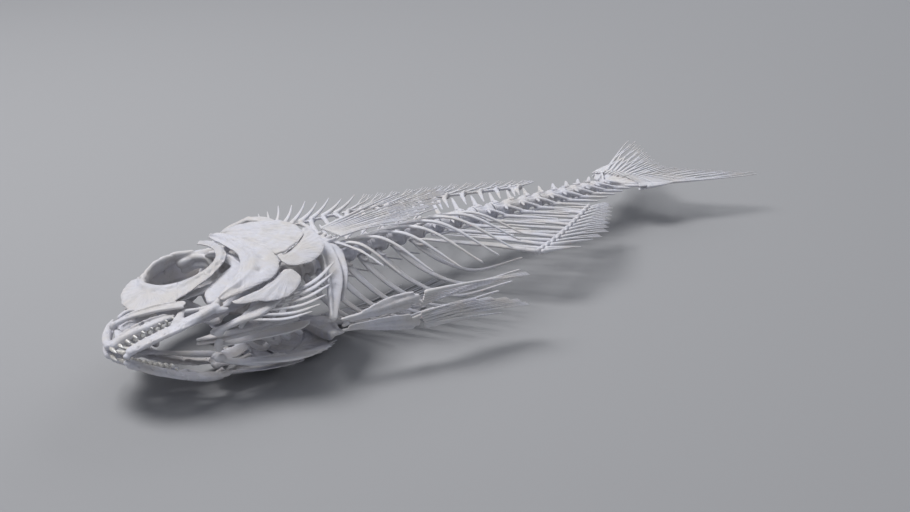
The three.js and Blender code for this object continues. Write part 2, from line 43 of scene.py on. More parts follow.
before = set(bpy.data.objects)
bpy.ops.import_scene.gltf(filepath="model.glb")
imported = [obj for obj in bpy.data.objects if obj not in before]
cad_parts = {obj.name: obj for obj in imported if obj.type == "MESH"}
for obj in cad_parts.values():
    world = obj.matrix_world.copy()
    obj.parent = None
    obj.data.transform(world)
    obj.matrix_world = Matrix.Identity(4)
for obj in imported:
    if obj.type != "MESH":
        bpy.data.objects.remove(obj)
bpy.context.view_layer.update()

# ---------------------------------------------------------------- the fish's frame
MM = 0.001
TOTAL_LENGTH = 350.0
OFFSET = np.array([-175.313, -7.825, 0.0])  # from the snout and the column to the part's origin
HEAD_HALF_WIDTH = 21.5
MID_HEIGHT = 21.8  # of the midplane over the floor
SAG_START = 140.0  # from where the column droops, down to TAIL_HEIGHT at the tips of the tail
TAIL_HEIGHT = 18.0
TAIL_MID_Y = 2.0
FORK_X = 326.0  # where the shortest rays of the tail fin end
JOINT_PITCH = 1.5  # of the joints along a soft ray
JOINT_SHIFT = 0.53  # by which they lag from one ray to the next
VERTEBRAE = 23
TRUNK_VERTEBRAE = 10
FRONT_VERTEBRAE = 17  # the trunk's and those of the front length of the tail
FIRST_RIB = 2
FIRST_PROCESS = 4  # the first vertebra whose rib hangs from a side process
GILL_RAYS = 6
GILL_ARCHES = 4
RAKERS = 17
RADIALS = 4
SUPRANEURALS = 2
CANAL_PORES = 6
PECTORAL_RAYS = 13
PELVIC_RAYS = 6
HYPURALS = 6
FAN_HALF_HEIGHT = 12
FAN_EDGE_X = 297
LONG_MIDDLE = 0.04  # makes the vertebrae longest half way along the column
SPINE_START = 0.38  # where a spine grows from its vertebra, as a share of the vertebra's length
ORBIT = (45.0, 17.0)
ORBIT_RADIUS = 14.0
SIDES = {"left": 1.0, "right": -1.0}
POLE = 0.02  # how far short of its poles a blob's outer rings stay, in radians
BLADE_GRID = (50, 26)  # points along and across a blade
SUTURE_WIDTH = 0.55
HASH = (73856093, 19349663, 83492791, 97531)  # spread the cells of the noise, and its seeds

COLUMN_LINE = [[86.4, 13], [135, 16], [185, 12.5], [235, 7], [280, 2.5]]
CENTRUM_RADIUS = [4.3, 4.4, 4.2, 3.7, 2.9]
# Along the column: heights of the spines over its middle line, and how steeply they rise, in degrees.
NEURAL_HEIGHT = [24, 33, 34, 30, 25, 19.5, 15, 12.5, 10.5]
HAEMAL_HEIGHT = [34, 34, 34, 34, 32, 25, 18.5, 14, 10.5]
SPINE_LEAN = [72, 66, 62, 58, 55, 52, 48, 42, 36]


def through(samples, t):
    """The value at t, from 0 to 1, on straight lines through evenly spaced samples."""
    return np.interp(t, np.linspace(0, 1, len(samples)), samples)


def smoothstep(t):
    t = np.clip(t, 0, 1)
    return t * t * (3 - 2 * t)


def spline(points, t, even=False):
    """Points at t, from 0 to 1, on a smooth line: centripetal, or even with clamped ends."""
    p = np.asarray(points, float)
    t = np.asarray(t, float)
    if even:
        ends = [p[:1], p[-1:]]
    else:
        ends = [2 * p[:1] - p[1:2], 2 * p[-1:] - p[-2:-1]]
    q = np.vstack([ends[0], p, ends[1]])
    at = np.clip(t, 0, 1) * (len(p) - 1)
    i = np.minimum(at.astype(int), len(p) - 2)
    f = (at - i)[..., None]
    p0, p1, p2, p3 = (q[i + k] for k in range(4))

    def gap(a, b):
        if even:
            return np.ones(a.shape[:-1] + (1,))
        return np.maximum(np.linalg.norm(b - a, axis=-1, keepdims=True) ** 0.5, 1e-4)

    d0, d1, d2 = gap(p0, p1), gap(p1, p2), gap(p2, p3)
    m1 = ((p1 - p0) / d0 - (p2 - p0) / (d0 + d1) + (p2 - p1) / d1) * d1
    m2 = ((p2 - p1) / d1 - (p3 - p1) / (d1 + d2) + (p3 - p2) / d2) * d1
    c2 = -3 * p1 + 3 * p2 - 2 * m1 - m2
    c3 = 2 * p1 - 2 * p2 + m1 + m2
    return p1 + m1 * f + c2 * f**2 + c3 * f**3


COLUMN_PATH = spline(COLUMN_LINE, np.linspace(0, 1, 801), even=True)
COLUMN_ARC = np.r_[0, np.cumsum(np.linalg.norm(np.diff(COLUMN_PATH, axis=0), axis=1))]


def column_at(u):
    """x, y, radius and share of the column at u, counted in vertebrae."""
    t = np.clip(np.asarray(u, float) / VERTEBRAE, 0, 1)
    s = (t - LONG_MIDDLE * np.sin(2 * np.pi * t)) * COLUMN_ARC[-1]
    x, y = (np.interp(s, COLUMN_ARC, COLUMN_PATH[:, k]) for k in (0, 1))
    return x, y, through(CENTRUM_RADIUS, t), t


def on_column(u):
    """x, y and radius of the column at one u."""
    return [float(v) for v in column_at(u)[:3]]


def slant_at(u, height, way):
    """A point at a height above the column (below with way = -1) on the line of a spine from u."""
    x, y, _, t = column_at(u)
    return x + height / np.tan(np.radians(through(SPINE_LEAN, t))), y + way * height


def head_side(x, y):
    """Half the width of the head at a point of the side view."""
    forward = 1 - np.clip(np.asarray(x, float) / 80, 0, 1)
    return HEAD_HALF_WIDTH * (1 - forward**1.8) / np.sqrt(1 + ((np.asarray(y) - 6) / 36) ** 4)


def inside(x, y, depth):
    """A point at a depth under the side of the head."""
    return [x, y, float(head_side(x, y)) - depth]


def mid_height(x):
    """How high the midplane lies over the floor."""
    t = smoothstep((x - SAG_START) / (TOTAL_LENGTH - SAG_START))
    return MID_HEIGHT + (TAIL_HEIGHT - MID_HEIGHT) * t


def lay(p):
    """Millimetres in the fish's frame to metres on the floor, where what would sink lies flat."""
    q = p + OFFSET
    q[:, 2] = np.maximum(q[:, 2] + mid_height(p[:, 0]), 0)
    return q * MM


def noise(p, size, seed):
    """Smooth noise from -1 to 1 with features of a size in millimetres."""
    q = np.asarray(p, float) / size + 13.7 * seed + 100
    cell = np.floor(q).astype(np.int64)
    f = q - cell
    f = f * f * (3 - 2 * f)
    total = np.zeros(len(q))
    for corner in itertools.product((0, 1), repeat=3):
        c = cell + corner
        h = (c[:, 0] * HASH[0]) ^ (c[:, 1] * HASH[1]) ^ (c[:, 2] * HASH[2]) ^ (seed * HASH[3])
        h = ((h ^ (h >> 13)) * 1274126177) & 0x7FFFFFFF
        h = (h ^ (h >> 16)) & 0xFFFF
        total += h * np.where(corner, f, 1 - f).prod(axis=1)
    return total / 32767.5 - 1


# ---------------------------------------------------------------- closed shapes
def outward(verts, faces):
    """The shape with its faces turned outwards."""
    fans = [(f[0], b, c) for f in faces for b, c in zip(f[1:-1], f[2:])]
    a, b, c = (verts[k] for k in np.array(fans).T)
    volume = (a * np.cross(b, c)).sum()
    return verts, ([f[::-1] for f in faces] if volume < 0 else faces)


def merged(shapes):
    """Several shapes as one."""
    verts, faces, base = [], [], 0
    for v, f in shapes:
        verts.append(v)
        faces += [[i + base for i in face] for face in f]
        base += len(v)
    return np.vstack(verts), faces


def on_side(shape, side):
    """The shape, or its mirror image in the midplane with side = -1."""
    verts, faces = shape
    return shape if side > 0 else (verts * [1, 1, -1], [f[::-1] for f in faces])


def around(sides):
    """The angles of a ring's points."""
    return np.linspace(0, 2 * np.pi, sides, endpoint=False)


def loft(rings):
    """A closed skin over rings of points, (rings, sides, 3)."""
    n, m, _ = rings.shape
    faces = [
        [i * m + j, i * m + (j + 1) % m, (i + 1) * m + (j + 1) % m, (i + 1) * m + j]
        for i in range(n - 1)
        for j in range(m)
    ]
    faces += [list(range(m))[::-1], [(n - 1) * m + j for j in range(m)]]
    return outward(rings.reshape(-1, 3), faces)


def round_ends(radius, arc):
    """The radius along a bone, brought in to a round end at both ends."""
    start, end = max(radius[0], 0.05), max(radius[-1], 0.05)
    near = np.clip(np.minimum(arc / start, (arc[-1] - arc) / end), 0, 1)
    return radius * np.sqrt(np.maximum(1 - (1 - near) ** 2, 0.02))


def along_line(points, rings):
    """Points along a smooth line, closer together at its ends, their t and distance."""
    u = np.linspace(0, 1, rings)
    t = 0.45 * u + 0.55 * (1 - np.cos(np.pi * u)) / 2
    line = spline(points, t)
    arc = np.r_[0, np.cumsum(np.linalg.norm(np.diff(line, axis=0), axis=1))]
    return line, t, arc


def sideways_of(line):
    """The direction from side to side of the body, square to a line at each of its points."""
    along = np.gradient(line, axis=0)
    along /= np.linalg.norm(along, axis=1, keepdims=True)
    across = np.array([0, 0, 1.0]) - along * along[:, 2:]
    across /= np.maximum(np.linalg.norm(across, axis=1, keepdims=True), 1e-6)
    return along, across


def tube(points, wide, deep, sides=16, rings=26):
    """A long bone: wide is its half-thickness in the side view and deep the one across."""
    line, t, arc = along_line(points, rings)
    along, across = sideways_of(line)
    up = np.cross(along, across)
    a = around(sides)
    w = round_ends(through(wide, t), arc)[:, None] * np.cos(a)
    d = round_ends(through(deep, t), arc)[:, None] * np.sin(a)
    return loft(line[:, None] + up[:, None] * w[..., None] + across[:, None] * d[..., None])


def turned(height, radius, sides):
    """Rings about the Y axis, one at each height with its radius."""
    height, radius = np.asarray(height)[:, None], np.asarray(radius)[:, None]
    a = around(sides)
    return np.stack([radius * np.cos(a), height + 0 * a, radius * np.sin(a)], axis=-1)


def blob(centre, radii, sides=20, rings=14):
    polar = np.linspace(POLE, np.pi - POLE, rings)
    unit = turned(np.cos(polar), np.sin(polar), sides)
    return loft(unit * np.asarray(radii, float) + np.asarray(centre, float))


def slab(outer, thick):
    """A closed sheet from a grid of points on its outer face, its thickness running inwards."""
    n, m, _ = outer.shape
    inner = outer - np.array([0, 0, 1.0]) * np.broadcast_to(thick, (n, m))[..., None]
    verts = np.vstack([outer.reshape(-1, 3), inner.reshape(-1, 3)])
    far = n * m
    faces = []
    for i in range(n - 1):
        for j in range(m - 1):
            a, b, c, d = i * m + j, (i + 1) * m + j, (i + 1) * m + j + 1, i * m + j + 1
            faces += [[a, b, c, d], [far + d, far + c, far + b, far + a]]
    rim = list(range(m)) + [i * m + m - 1 for i in range(1, n)]
    rim += [(n - 1) * m + j for j in range(m - 2, -1, -1)] + [i * m for i in range(n - 2, 0, -1)]
    for a, b in zip(rim, rim[1:] + rim[:1]):
        faces.append([a, far + a, far + b, b][::-1])
    return outward(verts, faces)


def blade(lower, upper, thick_low, thick_top):
    """A blade in the midplane between two lines of the side view."""
    s, v = (np.linspace(0, 1, count) for count in BLADE_GRID)
    a, b = spline(lower, s, even=True), spline(upper, s, even=True)
    xy = a[:, None] + (b - a)[:, None] * v[None, :, None]
    half = np.broadcast_to((thick_low + (thick_top - thick_low) * v) / 2, BLADE_GRID)
    return slab(np.dstack([xy, half]), 2 * half)


# ---------------------------------------------------------------- shaders and node trees
class Link:
    """An output socket that takes part in Python expressions."""

    def __init__(self, nodes, socket):
        self.nodes = nodes
        self.socket = socket

    def of(self, name):
        return Link(self.nodes, self.socket.node.outputs[name])

    def _math(self, operation, *values):
        return self.nodes.node("ShaderNodeMath", {"operation": operation}, dict(enumerate(values)))

    def __add__(self, other):
        return self._math("ADD", self, other)

    def __sub__(self, other):
        return self._math("SUBTRACT", self, other)

    def __mul__(self, other):
        return self._math("MULTIPLY", self, other)

    def __rsub__(self, other):
        return self._math("SUBTRACT", other, self)

    __radd__ = __add__
    __rmul__ = __mul__

    def between(self, low, high):
        """0 below low and 1 above high, smoothly in between."""
        sockets = {"Value": self, "From Min": low, "From Max": high}
        return self.nodes.node("ShaderNodeMapRange", {"interpolation_type": "SMOOTHSTEP"}, sockets)


class Nodes:
    """A node tree that is filled by one method."""

    def __init__(self, tree):
        self.tree = tree

    def node(self, kind, settings=None, sockets=None):
        """Adds a node. Its settings are made first, then its sockets by name or number."""
        made = self.tree.nodes.new(kind)
        for name, value in (settings or {}).items():
            setattr(made, name, value)
        for name, value in (sockets or {}).items():
            if isinstance(value, Link):
                self.tree.links.new(value.socket, made.inputs[name])
            else:
                made.inputs[name].default_value = value
        return Link(self, made.outputs[0]) if made.outputs else made

    def attribute(self, name):
        return self.node("ShaderNodeAttribute", {"attribute_name": name}).of("Fac")

    def named(self, name, kind="FLOAT"):
        """An attribute in a Geometry Nodes tree."""
        return self.node("GeometryNodeInputNamedAttribute", {"data_type": kind}, {"Name": name})

    def mix(self, factor, low, high):
        """Two colours mixed by a factor."""
        sockets = {"Factor": factor, 6: low, 7: high}
        return self.node("ShaderNodeMix", {"data_type": "RGBA"}, sockets).of(2)

    def clouds(self, where, scale, detail=2.0, rough=0.5):
        sockets = {"Vector": where, "Scale": scale, "Detail": detail, "Roughness": rough}
        return self.node("ShaderNodeTexNoise", {"noise_dimensions": "3D"}, sockets)


def node_group(name, inputs):
    """A new Geometry Nodes tree, its filler, its input node and the identifiers of its inputs."""
    tree = bpy.data.node_groups.new(name, "GeometryNodeTree")
    tree.interface.new_socket("Geometry", in_out="INPUT", socket_type="NodeSocketGeometry")
    ids = {}
    for label, (kind, value) in inputs.items():
        socket = tree.interface.new_socket(label, in_out="INPUT", socket_type=kind)
        if value is not None:
            socket.default_value = value
        ids[label] = socket.identifier
    tree.interface.new_socket("Geometry", in_out="OUTPUT", socket_type="NodeSocketGeometry")
    nodes = Nodes(tree)
    return nodes, nodes.node("NodeGroupInput"), ids


def close_group(nodes, geometry, material):
    """Ends a tree with plain geometry that carries its material."""
    real = nodes.node("GeometryNodeRealizeInstances", None, {"Geometry": geometry})
    done = nodes.node("GeometryNodeSetMaterial", None, {"Geometry": real, "Material": material})
    nodes.node("NodeGroupOutput", None, {"Geometry": done})


@functools.cache
def sweep_group():
    """Lines with a radius at each point become round or flattened bones."""
    inputs = {"Sides": ("NodeSocketInt", 8), "Material": ("NodeSocketMaterial", None)}
    nodes, given, ids = node_group("Swept bones", inputs)
    curve = nodes.node("GeometryNodeMeshToCurve", None, {"Mesh": given.of("Geometry")})
    settings = {"data_type": "FLOAT_VECTOR", "domain": "POINT"}
    place = nodes.node("GeometryNodeInputPosition")
    sockets = {"Geometry": curve, "Name": "centre", "Value": place}
    curve = nodes.node("GeometryNodeStoreNamedAttribute", settings, sockets)
    sockets = {"Resolution": given.of("Sides"), "Radius": 1.0}
    ring = nodes.node("GeometryNodeCurvePrimitiveCircle", {"mode": "RADIUS"}, sockets)
    sockets = {"Curve": curve, "Profile Curve": ring, "Scale": nodes.named("radius"), "Fill Caps": True}
    skin = nodes.node("GeometryNodeCurveToMesh", None, sockets)

    def vector(operation, sockets):
        return nodes.node("ShaderNodeVectorMath", {"operation": operation}, sockets)

    across = nodes.named("across", "FLOAT_VECTOR")
    away = vector("SUBTRACT", {0: place, 1: nodes.named("centre", "FLOAT_VECTOR")})
    lean = vector("DOT_PRODUCT", {0: away, 1: across}).of("Value")
    less = nodes.named("flat") - 1.0
    shift = vector("SCALE", {0: across, "Scale": lean * less})
    skin = nodes.node("GeometryNodeSetPosition", None, {"Geometry": skin, "Offset": shift})
    skin = nodes.node("GeometryNodeSetShadeSmooth", None, {"Geometry": skin, "Shade Smooth": True})
    close_group(nodes, skin, given.of("Material"))
    return nodes.tree, ids


@functools.cache
def copies_group():
    """One shape stands at every point, turned and sized by the point's attributes."""
    inputs = {"Shape": ("NodeSocketObject", None), "Material": ("NodeSocketMaterial", None)}
    nodes, given, ids = node_group("Repeated bones", inputs)
    shape = nodes.node("GeometryNodeObjectInfo", None, {"Object": given.of("Shape")}).of("Geometry")
    turn = nodes.named("turn", "FLOAT_VECTOR")
    turn = nodes.node("FunctionNodeEulerToRotation", None, {"Euler": turn})
    size = nodes.named("size", "FLOAT_VECTOR")
    points = nodes.node("GeometryNodeMeshToPoints", None, {"Mesh": given.of("Geometry")})
    sockets = {"Points": points, "Instance": shape, "Rotation": turn, "Scale": size}
    made = nodes.node("GeometryNodeInstanceOnPoints", None, sockets)
    close_group(nodes, made, given.of("Material"))
    return nodes.tree, ids


def read(items, field, width=1, kind=np.float32):
    """A field of all the items, with width numbers to an item."""
    values = np.zeros(len(items) * width, kind)
    items.foreach_get(field, values)
    return values.reshape(-1, width) if width > 1 else values


def corners(mesh):
    return read(mesh.vertices, "co", 3).astype(float)


def normals_of(mesh):
    return read(mesh.vertex_normals, "vector", 3).astype(float)


def baked(obj, mark=None):
    """The object's shape with its modifiers applied, and its mark; the object is taken away."""
    depsgraph = bpy.context.evaluated_depsgraph_get()
    mesh = bpy.data.meshes.new_from_object(obj.evaluated_get(depsgraph), depsgraph=depsgraph)
    loops = read(mesh.loops, "vertex_index", kind=np.int32)
    starts = read(mesh.polygons, "loop_start", kind=np.int32)
    shape = corners(mesh), [part.tolist() for part in np.split(loops, starts[1:])]
    values = read(mesh.attributes[mark].data, "value") if mark else None
    spent = obj.data, mesh
    bpy.data.objects.remove(obj)
    for old in spent:
        bpy.data.meshes.remove(old)
    return shape, values


def give(mesh, name, values, kind="FLOAT"):
    """Stores an attribute of the mesh's points."""
    attribute = mesh.attributes.new(name, kind, "POINT")
    field = "vector" if kind == "FLOAT_VECTOR" else "value"
    attribute.data.foreach_set(field, np.asarray(values, np.float32).ravel())


def placed(name, data):
    """A new object of the scene."""
    obj = bpy.data.objects.new(name, data)
    bpy.context.scene.collection.objects.link(obj)
    return obj


def temporary(name, verts, edges, faces):
    mesh = bpy.data.meshes.new(name)
    mesh.from_pydata(verts.tolist(), edges, faces)
    return placed(name, mesh)


def strand(points, radius, flat, rings, start=0.0):
    """A line for the sweep, with its radius, flatness and the distance from where it counts."""
    line, t, arc = along_line(points, rings)
    flats = through(flat, t) if np.ndim(flat) else np.full(len(t), float(flat))
    return line, round_ends(through(radius, t), arc), flats, arc + start


def swept(strands, sides, material):
    """The bones of some strands in one shape, and the distance along its strand of each point."""
    lines, edges, across, base = [], [], [], 0
    for line, _, _, _ in strands:
        lines.append(line)
        across.append(sideways_of(line)[1])
        edges += [(base + k, base + k + 1) for k in range(len(line) - 1)]
        base += len(line)
    obj = temporary("lines", np.vstack(lines), edges, [])
    for name, k in (("radius", 1), ("flat", 2), ("along", 3)):
        give(obj.data, name, np.concatenate([s[k] for s in strands]))
    give(obj.data, "across", np.vstack(across), "FLOAT_VECTOR")
    tree, ids = sweep_group()
    modifier = obj.modifiers.new("Swept bones", "NODES")
    modifier.node_group = tree
    modifier[ids["Sides"]] = sides
    modifier[ids["Material"]] = material
    shape, along = baked(obj, "along")
    return outward(*shape), along


def repeated(shape, places, turns, sizes, material):
    """Copies of a shape at the places, as one shape."""
    model = temporary("model", shape[0], [], shape[1])
    obj = temporary("places", np.asarray(places, float), [], [])
    give(obj.data, "turn", turns, "FLOAT_VECTOR")
    give(obj.data, "size", sizes, "FLOAT_VECTOR")
    tree, ids = copies_group()
    modifier = obj.modifiers.new("Repeated bones", "NODES")
    modifier.node_group = tree
    modifier[ids["Shape"]] = model
    modifier[ids["Material"]] = material
    made, _ = baked(obj)
    bpy.data.objects.remove(model)
    return made


def fused(shapes, share, smooth):
    """Shapes that overlap, grown together into one skin as fine as a share of the scene's grain."""
    verts, faces = merged(shapes)
    obj = temporary("fusing", verts, [], faces)
    remesh = obj.modifiers.new("Fuse", "REMESH")
    remesh.mode = "VOXEL"
    voxel = share * bpy.context.scene.skeleton_sizes.grain / MM
    remesh.voxel_size = voxel * 1.0
    soften = obj.modifiers.new("Soften", "SMOOTH")
    soften.factor = 0.5
    soften.iterations = smooth
    return outward(*baked(obj)[0])


def hollows(co, normals, edges, rounds):
    """How far each point lies below its surroundings, in millimetres; ridges are negative. The material
    paints shade in the hollows from it.
    """
    count = np.maximum(np.bincount(edges.ravel(), minlength=len(co)), 1)
    soft = co.copy()
    for _ in range(rounds):
        for axis in range(3):
            value = soft[:, axis]
            total = np.bincount(edges[:, 0], value[edges[:, 1]], len(co))
            total += np.bincount(edges[:, 1], value[edges[:, 0]], len(co))
            soft[:, axis] = 0.5 * value + 0.5 * total / count
    return ((soft - co) * normals).sum(axis=1)


def stand(name, shape, material, slot, nodes=(), relief=None, marks=None, rounds=12):
    """Finishes a bone: relief on its surface, its marks for the material, its place on the floor."""
    mesh = bpy.data.meshes.new(name)
    mesh.from_pydata(shape[0].tolist(), [], shape[1])
    co = corners(mesh)
    if relief:
        co = co + normals_of(mesh) * relief(co)[:, None]
        mesh.vertices.foreach_set("co", co.astype(np.float32).ravel())
        mesh.update()
    edges = read(mesh.edges, "vertices", 2, np.int32)
    # How hollow each point lies; the material darkens the hollows with it as painted shade and lightens the
    # ridges.
    give(mesh, "hollow", hollows(co, normals_of(mesh), edges, rounds))
    for label, values in (marks or {}).items():
        give(mesh, label, values)
    mesh.vertices.foreach_set("co", lay(co).astype(np.float32).ravel())
    mesh.polygons.foreach_set("use_smooth", [True] * len(mesh.polygons))
    mesh.materials.append(material)
    mesh.update()
    obj = placed(name, mesh)
    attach(obj, "root")
    if nodes:
        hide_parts(*nodes)


def stand_pair(name, shape, material, slot, node=None, **more):
    """The left bone and its mirror image; node is what they stand for, without its side."""
    for label, side in SIDES.items():
        nodes = [f"{node}_{label}"] if node else ()
        stand(f"{name}_{label}", on_side(shape, side), material, slot, nodes, **more)


# ---------------------------------------------------------------- finishes
def empty_material(name):
    """A new material and the filler of its empty node tree."""
    material = bpy.data.materials.new(name)
    material.use_nodes = True
    material.node_tree.nodes.clear()
    return material, Nodes(material.node_tree)


def bone_material(name, tones, finish, striae=0.0, joints=0.0, pores=1.0):
    """Bleached bone, with painted shade in its hollows. striae fan out over plates, joints ring the rays of
    the fins.
    """
    material, n = empty_material(name)
    where = n.node("ShaderNodeTexCoord").of("Object")
    scaled = n.node("ShaderNodeVectorMath", {"operation": "SCALE"}, {0: where, "Scale": 1 / MM})
    broad = n.clouds(scaled, 0.07, 3.0, 0.55)  # scales are features to a millimetre
    patch = n.clouds(scaled, 0.32, 4.0, 0.6)
    grain = n.clouds(scaled, 1.9, 3.0, 0.6)
    hollow = n.attribute("hollow")
    # This mask marks the hollows that are darkened as painted shade.
    painted_recess_shade = hollow.between(0.02, 0.55)
    ridge = (hollow * -1.0).between(0.03, 0.4)
    sockets = {"Vector": scaled, "Scale": 1.25, "Randomness": 1.0}
    spots = n.node("ShaderNodeTexVoronoi", {"feature": "F1"}, sockets)
    pits = (1.0 - spots.between(0.1, 0.24)) * patch.between(0.45, 0.62) * pores
    colour = n.mix(broad.between(0.36, 0.66), tones["light"], tones["warm"])
    colour = n.mix(patch.between(0.5, 0.78) * 0.5, colour, tones["shade"])
    # Painted shade: the hollows are darkened towards the deep tone, for the shade that falls in them.
    colour = n.mix(painted_recess_shade * 0.72, colour, tones["deep"])
    colour = n.mix(pits * 0.35, colour, tones["deep"])
    # Lighter towards the ridge tone where the surface stands out above its surroundings.
    colour = n.mix(ridge * 0.45, colour, tones["ridge_tone"])
    height = grain * 0.35 + patch * 0.5 - pits * 0.9
    if striae:
        streak = {0: n.attribute("fan") * 22.0, 1: n.attribute("reach") * 0.16}
        fibres = n.clouds(n.node("ShaderNodeCombineXYZ", None, streak), 1.0, 3.0, 0.6)
        rings = {0: n.attribute("reach") * 0.75, 1: n.attribute("fan") * 0.6}
        growth = n.clouds(n.node("ShaderNodeCombineXYZ", None, rings), 1.0, 2.0, 0.5)
        colour = n.mix(fibres.between(0.48, 0.72) * (0.55 * striae), colour, tones["shade"])
        colour = n.mix(growth.between(0.52, 0.7) * (0.4 * striae), colour, tones["warm"])
        height = height + fibres * (0.9 * striae) + growth * (0.35 * striae)
    if joints:
        along = n.attribute("along")
        ring = n.node("ShaderNodeMath", {"operation": "FRACT"}, {0: along * (1 / JOINT_PITCH)})
        dark = (1.0 - ring.between(0.0, 0.16)) * along.between(12.0, 20.0) * joints
        colour = n.mix(dark * 0.26, colour, tones["deep"])
        height = height - dark * 0.4
    bump = n.node("ShaderNodeBump", None, {"Strength": 0.55, "Distance": 0.35 * MM, "Height": height})
    rough = grain * 0.16 + patch * 0.12 + (finish.roughness - 0.14)
    sockets = {
        "Base Color": colour,
        "Roughness": rough,
        "Normal": bump,
        "IOR": 1.5,
        "Specular IOR Level": 0.42,
        "Subsurface Weight": finish.translucency,
        "Subsurface Radius": (1.0, 0.86, 0.74),
        "Subsurface Scale": 0.9 * MM,
    }
    shader = n.node("ShaderNodeBsdfPrincipled", {"subsurface_method": "RANDOM_WALK"}, sockets)
    n.node("ShaderNodeOutputMaterial", None, {"Surface": shader})
    return material


def enamel_material(name, colour, tip):
    """The teeth, glossier than the bone, and clearer towards their tips."""
    material, n = empty_material(name)
    sockets = {
        "Base Color": n.mix(n.attribute("along").between(0.2, 1.0), colour, tip),
        "Roughness": 0.24,
        "Specular IOR Level": 0.55,
        "Coat Roughness": 0.12,
        "Coat Weight": 0.25,
    }
    shader = n.node("ShaderNodeBsdfPrincipled", None, sockets)
    n.node("ShaderNodeOutputMaterial", None, {"Surface": shader})
    return material


@functools.cache
def finish_for(kind):
    """The material of a kind of bone, made once from the scene's settings."""
    finish = bpy.context.scene.skeleton_finish
    tones = {tone: (*getattr(finish, tone), 1) for tone in ("light", "warm", "shade", "deep", "ridge_tone")}
    if kind == "teeth":
        return enamel_material("tooth_enamel", (0.68, 0.66, 0.62, 1), (0.84, 0.84, 0.84, 1))
    if kind == "plate":
        return bone_material("plate_bone", tones, finish, striae=1.0, pores=0.35)
    if kind == "fin":
        return bone_material("fin_bone", tones, finish, joints=1.0, pores=0.0)
    if kind == "rib":
        return bone_material("rib_bone", tones, finish, pores=0.25)
    return bone_material("skull_bone", tones, finish)


# ---------------------------------------------------------------- relief
def mask_near(p, line, width):
    """1 on a line of the side view, falling to 0 at a width."""
    pts = spline(line, np.linspace(0, 1, 40))
    best = np.full(len(p), 1e9)
    for a, b in zip(pts[:-1], pts[1:]):
        d = b - a
        t = np.clip(((p[:, :2] - a) @ d) / (d @ d + 1e-9), 0, 1)
        best = np.minimum(best, np.linalg.norm(p[:, :2] - (a + t[:, None] * d), axis=1))
    return smoothstep(1 - best / width)


def sutures(p, lines, depth=0.22):
    """Grooves where two bones of the skull meet, wavering along their length."""
    wavy = p.copy()
    wavy[:, 0] += 0.7 * noise(p, 1.5, 5)
    wavy[:, 1] += 0.7 * noise(p, 1.5, 6)
    total = np.zeros(len(p))
    for line in lines:
        total = np.maximum(total, mask_near(wavy, line, SUTURE_WIDTH))
    return -depth * total


def dimples(p, centres, radius, depth):
    """Round pits at points of the side view."""
    total = np.zeros(len(p))
    for x, y in centres:
        near = np.hypot(p[:, 0] - x, p[:, 1] - y)
        total = np.maximum(total, smoothstep(1 - near / radius))
    return -depth * total


def rough_bone(p, large=0.22, fine=0.06):
    return large * noise(p, 5.0, 1) + 0.5 * large * noise(p, 2.2, 2) + fine * noise(p, 0.9, 3)


def roughness_of(large, fine=0.06):
    """The relief of a plain bone, as a function of its points."""
    return lambda p: rough_bone(p, large, fine)


# ---------------------------------------------------------------- braincase
SKULL_SUTURES = [
    [[53, 36], [55, 30], [57, 24]],
    [[60, 40], [62, 33], [66, 29], [74, 28], [82, 29]],
    [[66, 29], [65, 20], [68, 12], [64, 6]],
    [[68, 17], [75, 18], [83, 20]],
    [[76, 18], [77, 10], [75, 5]],
    [[27, 22], [29, 16], [28, 10]],
    [[60, 44], [58, 39], [53, 36]],
]


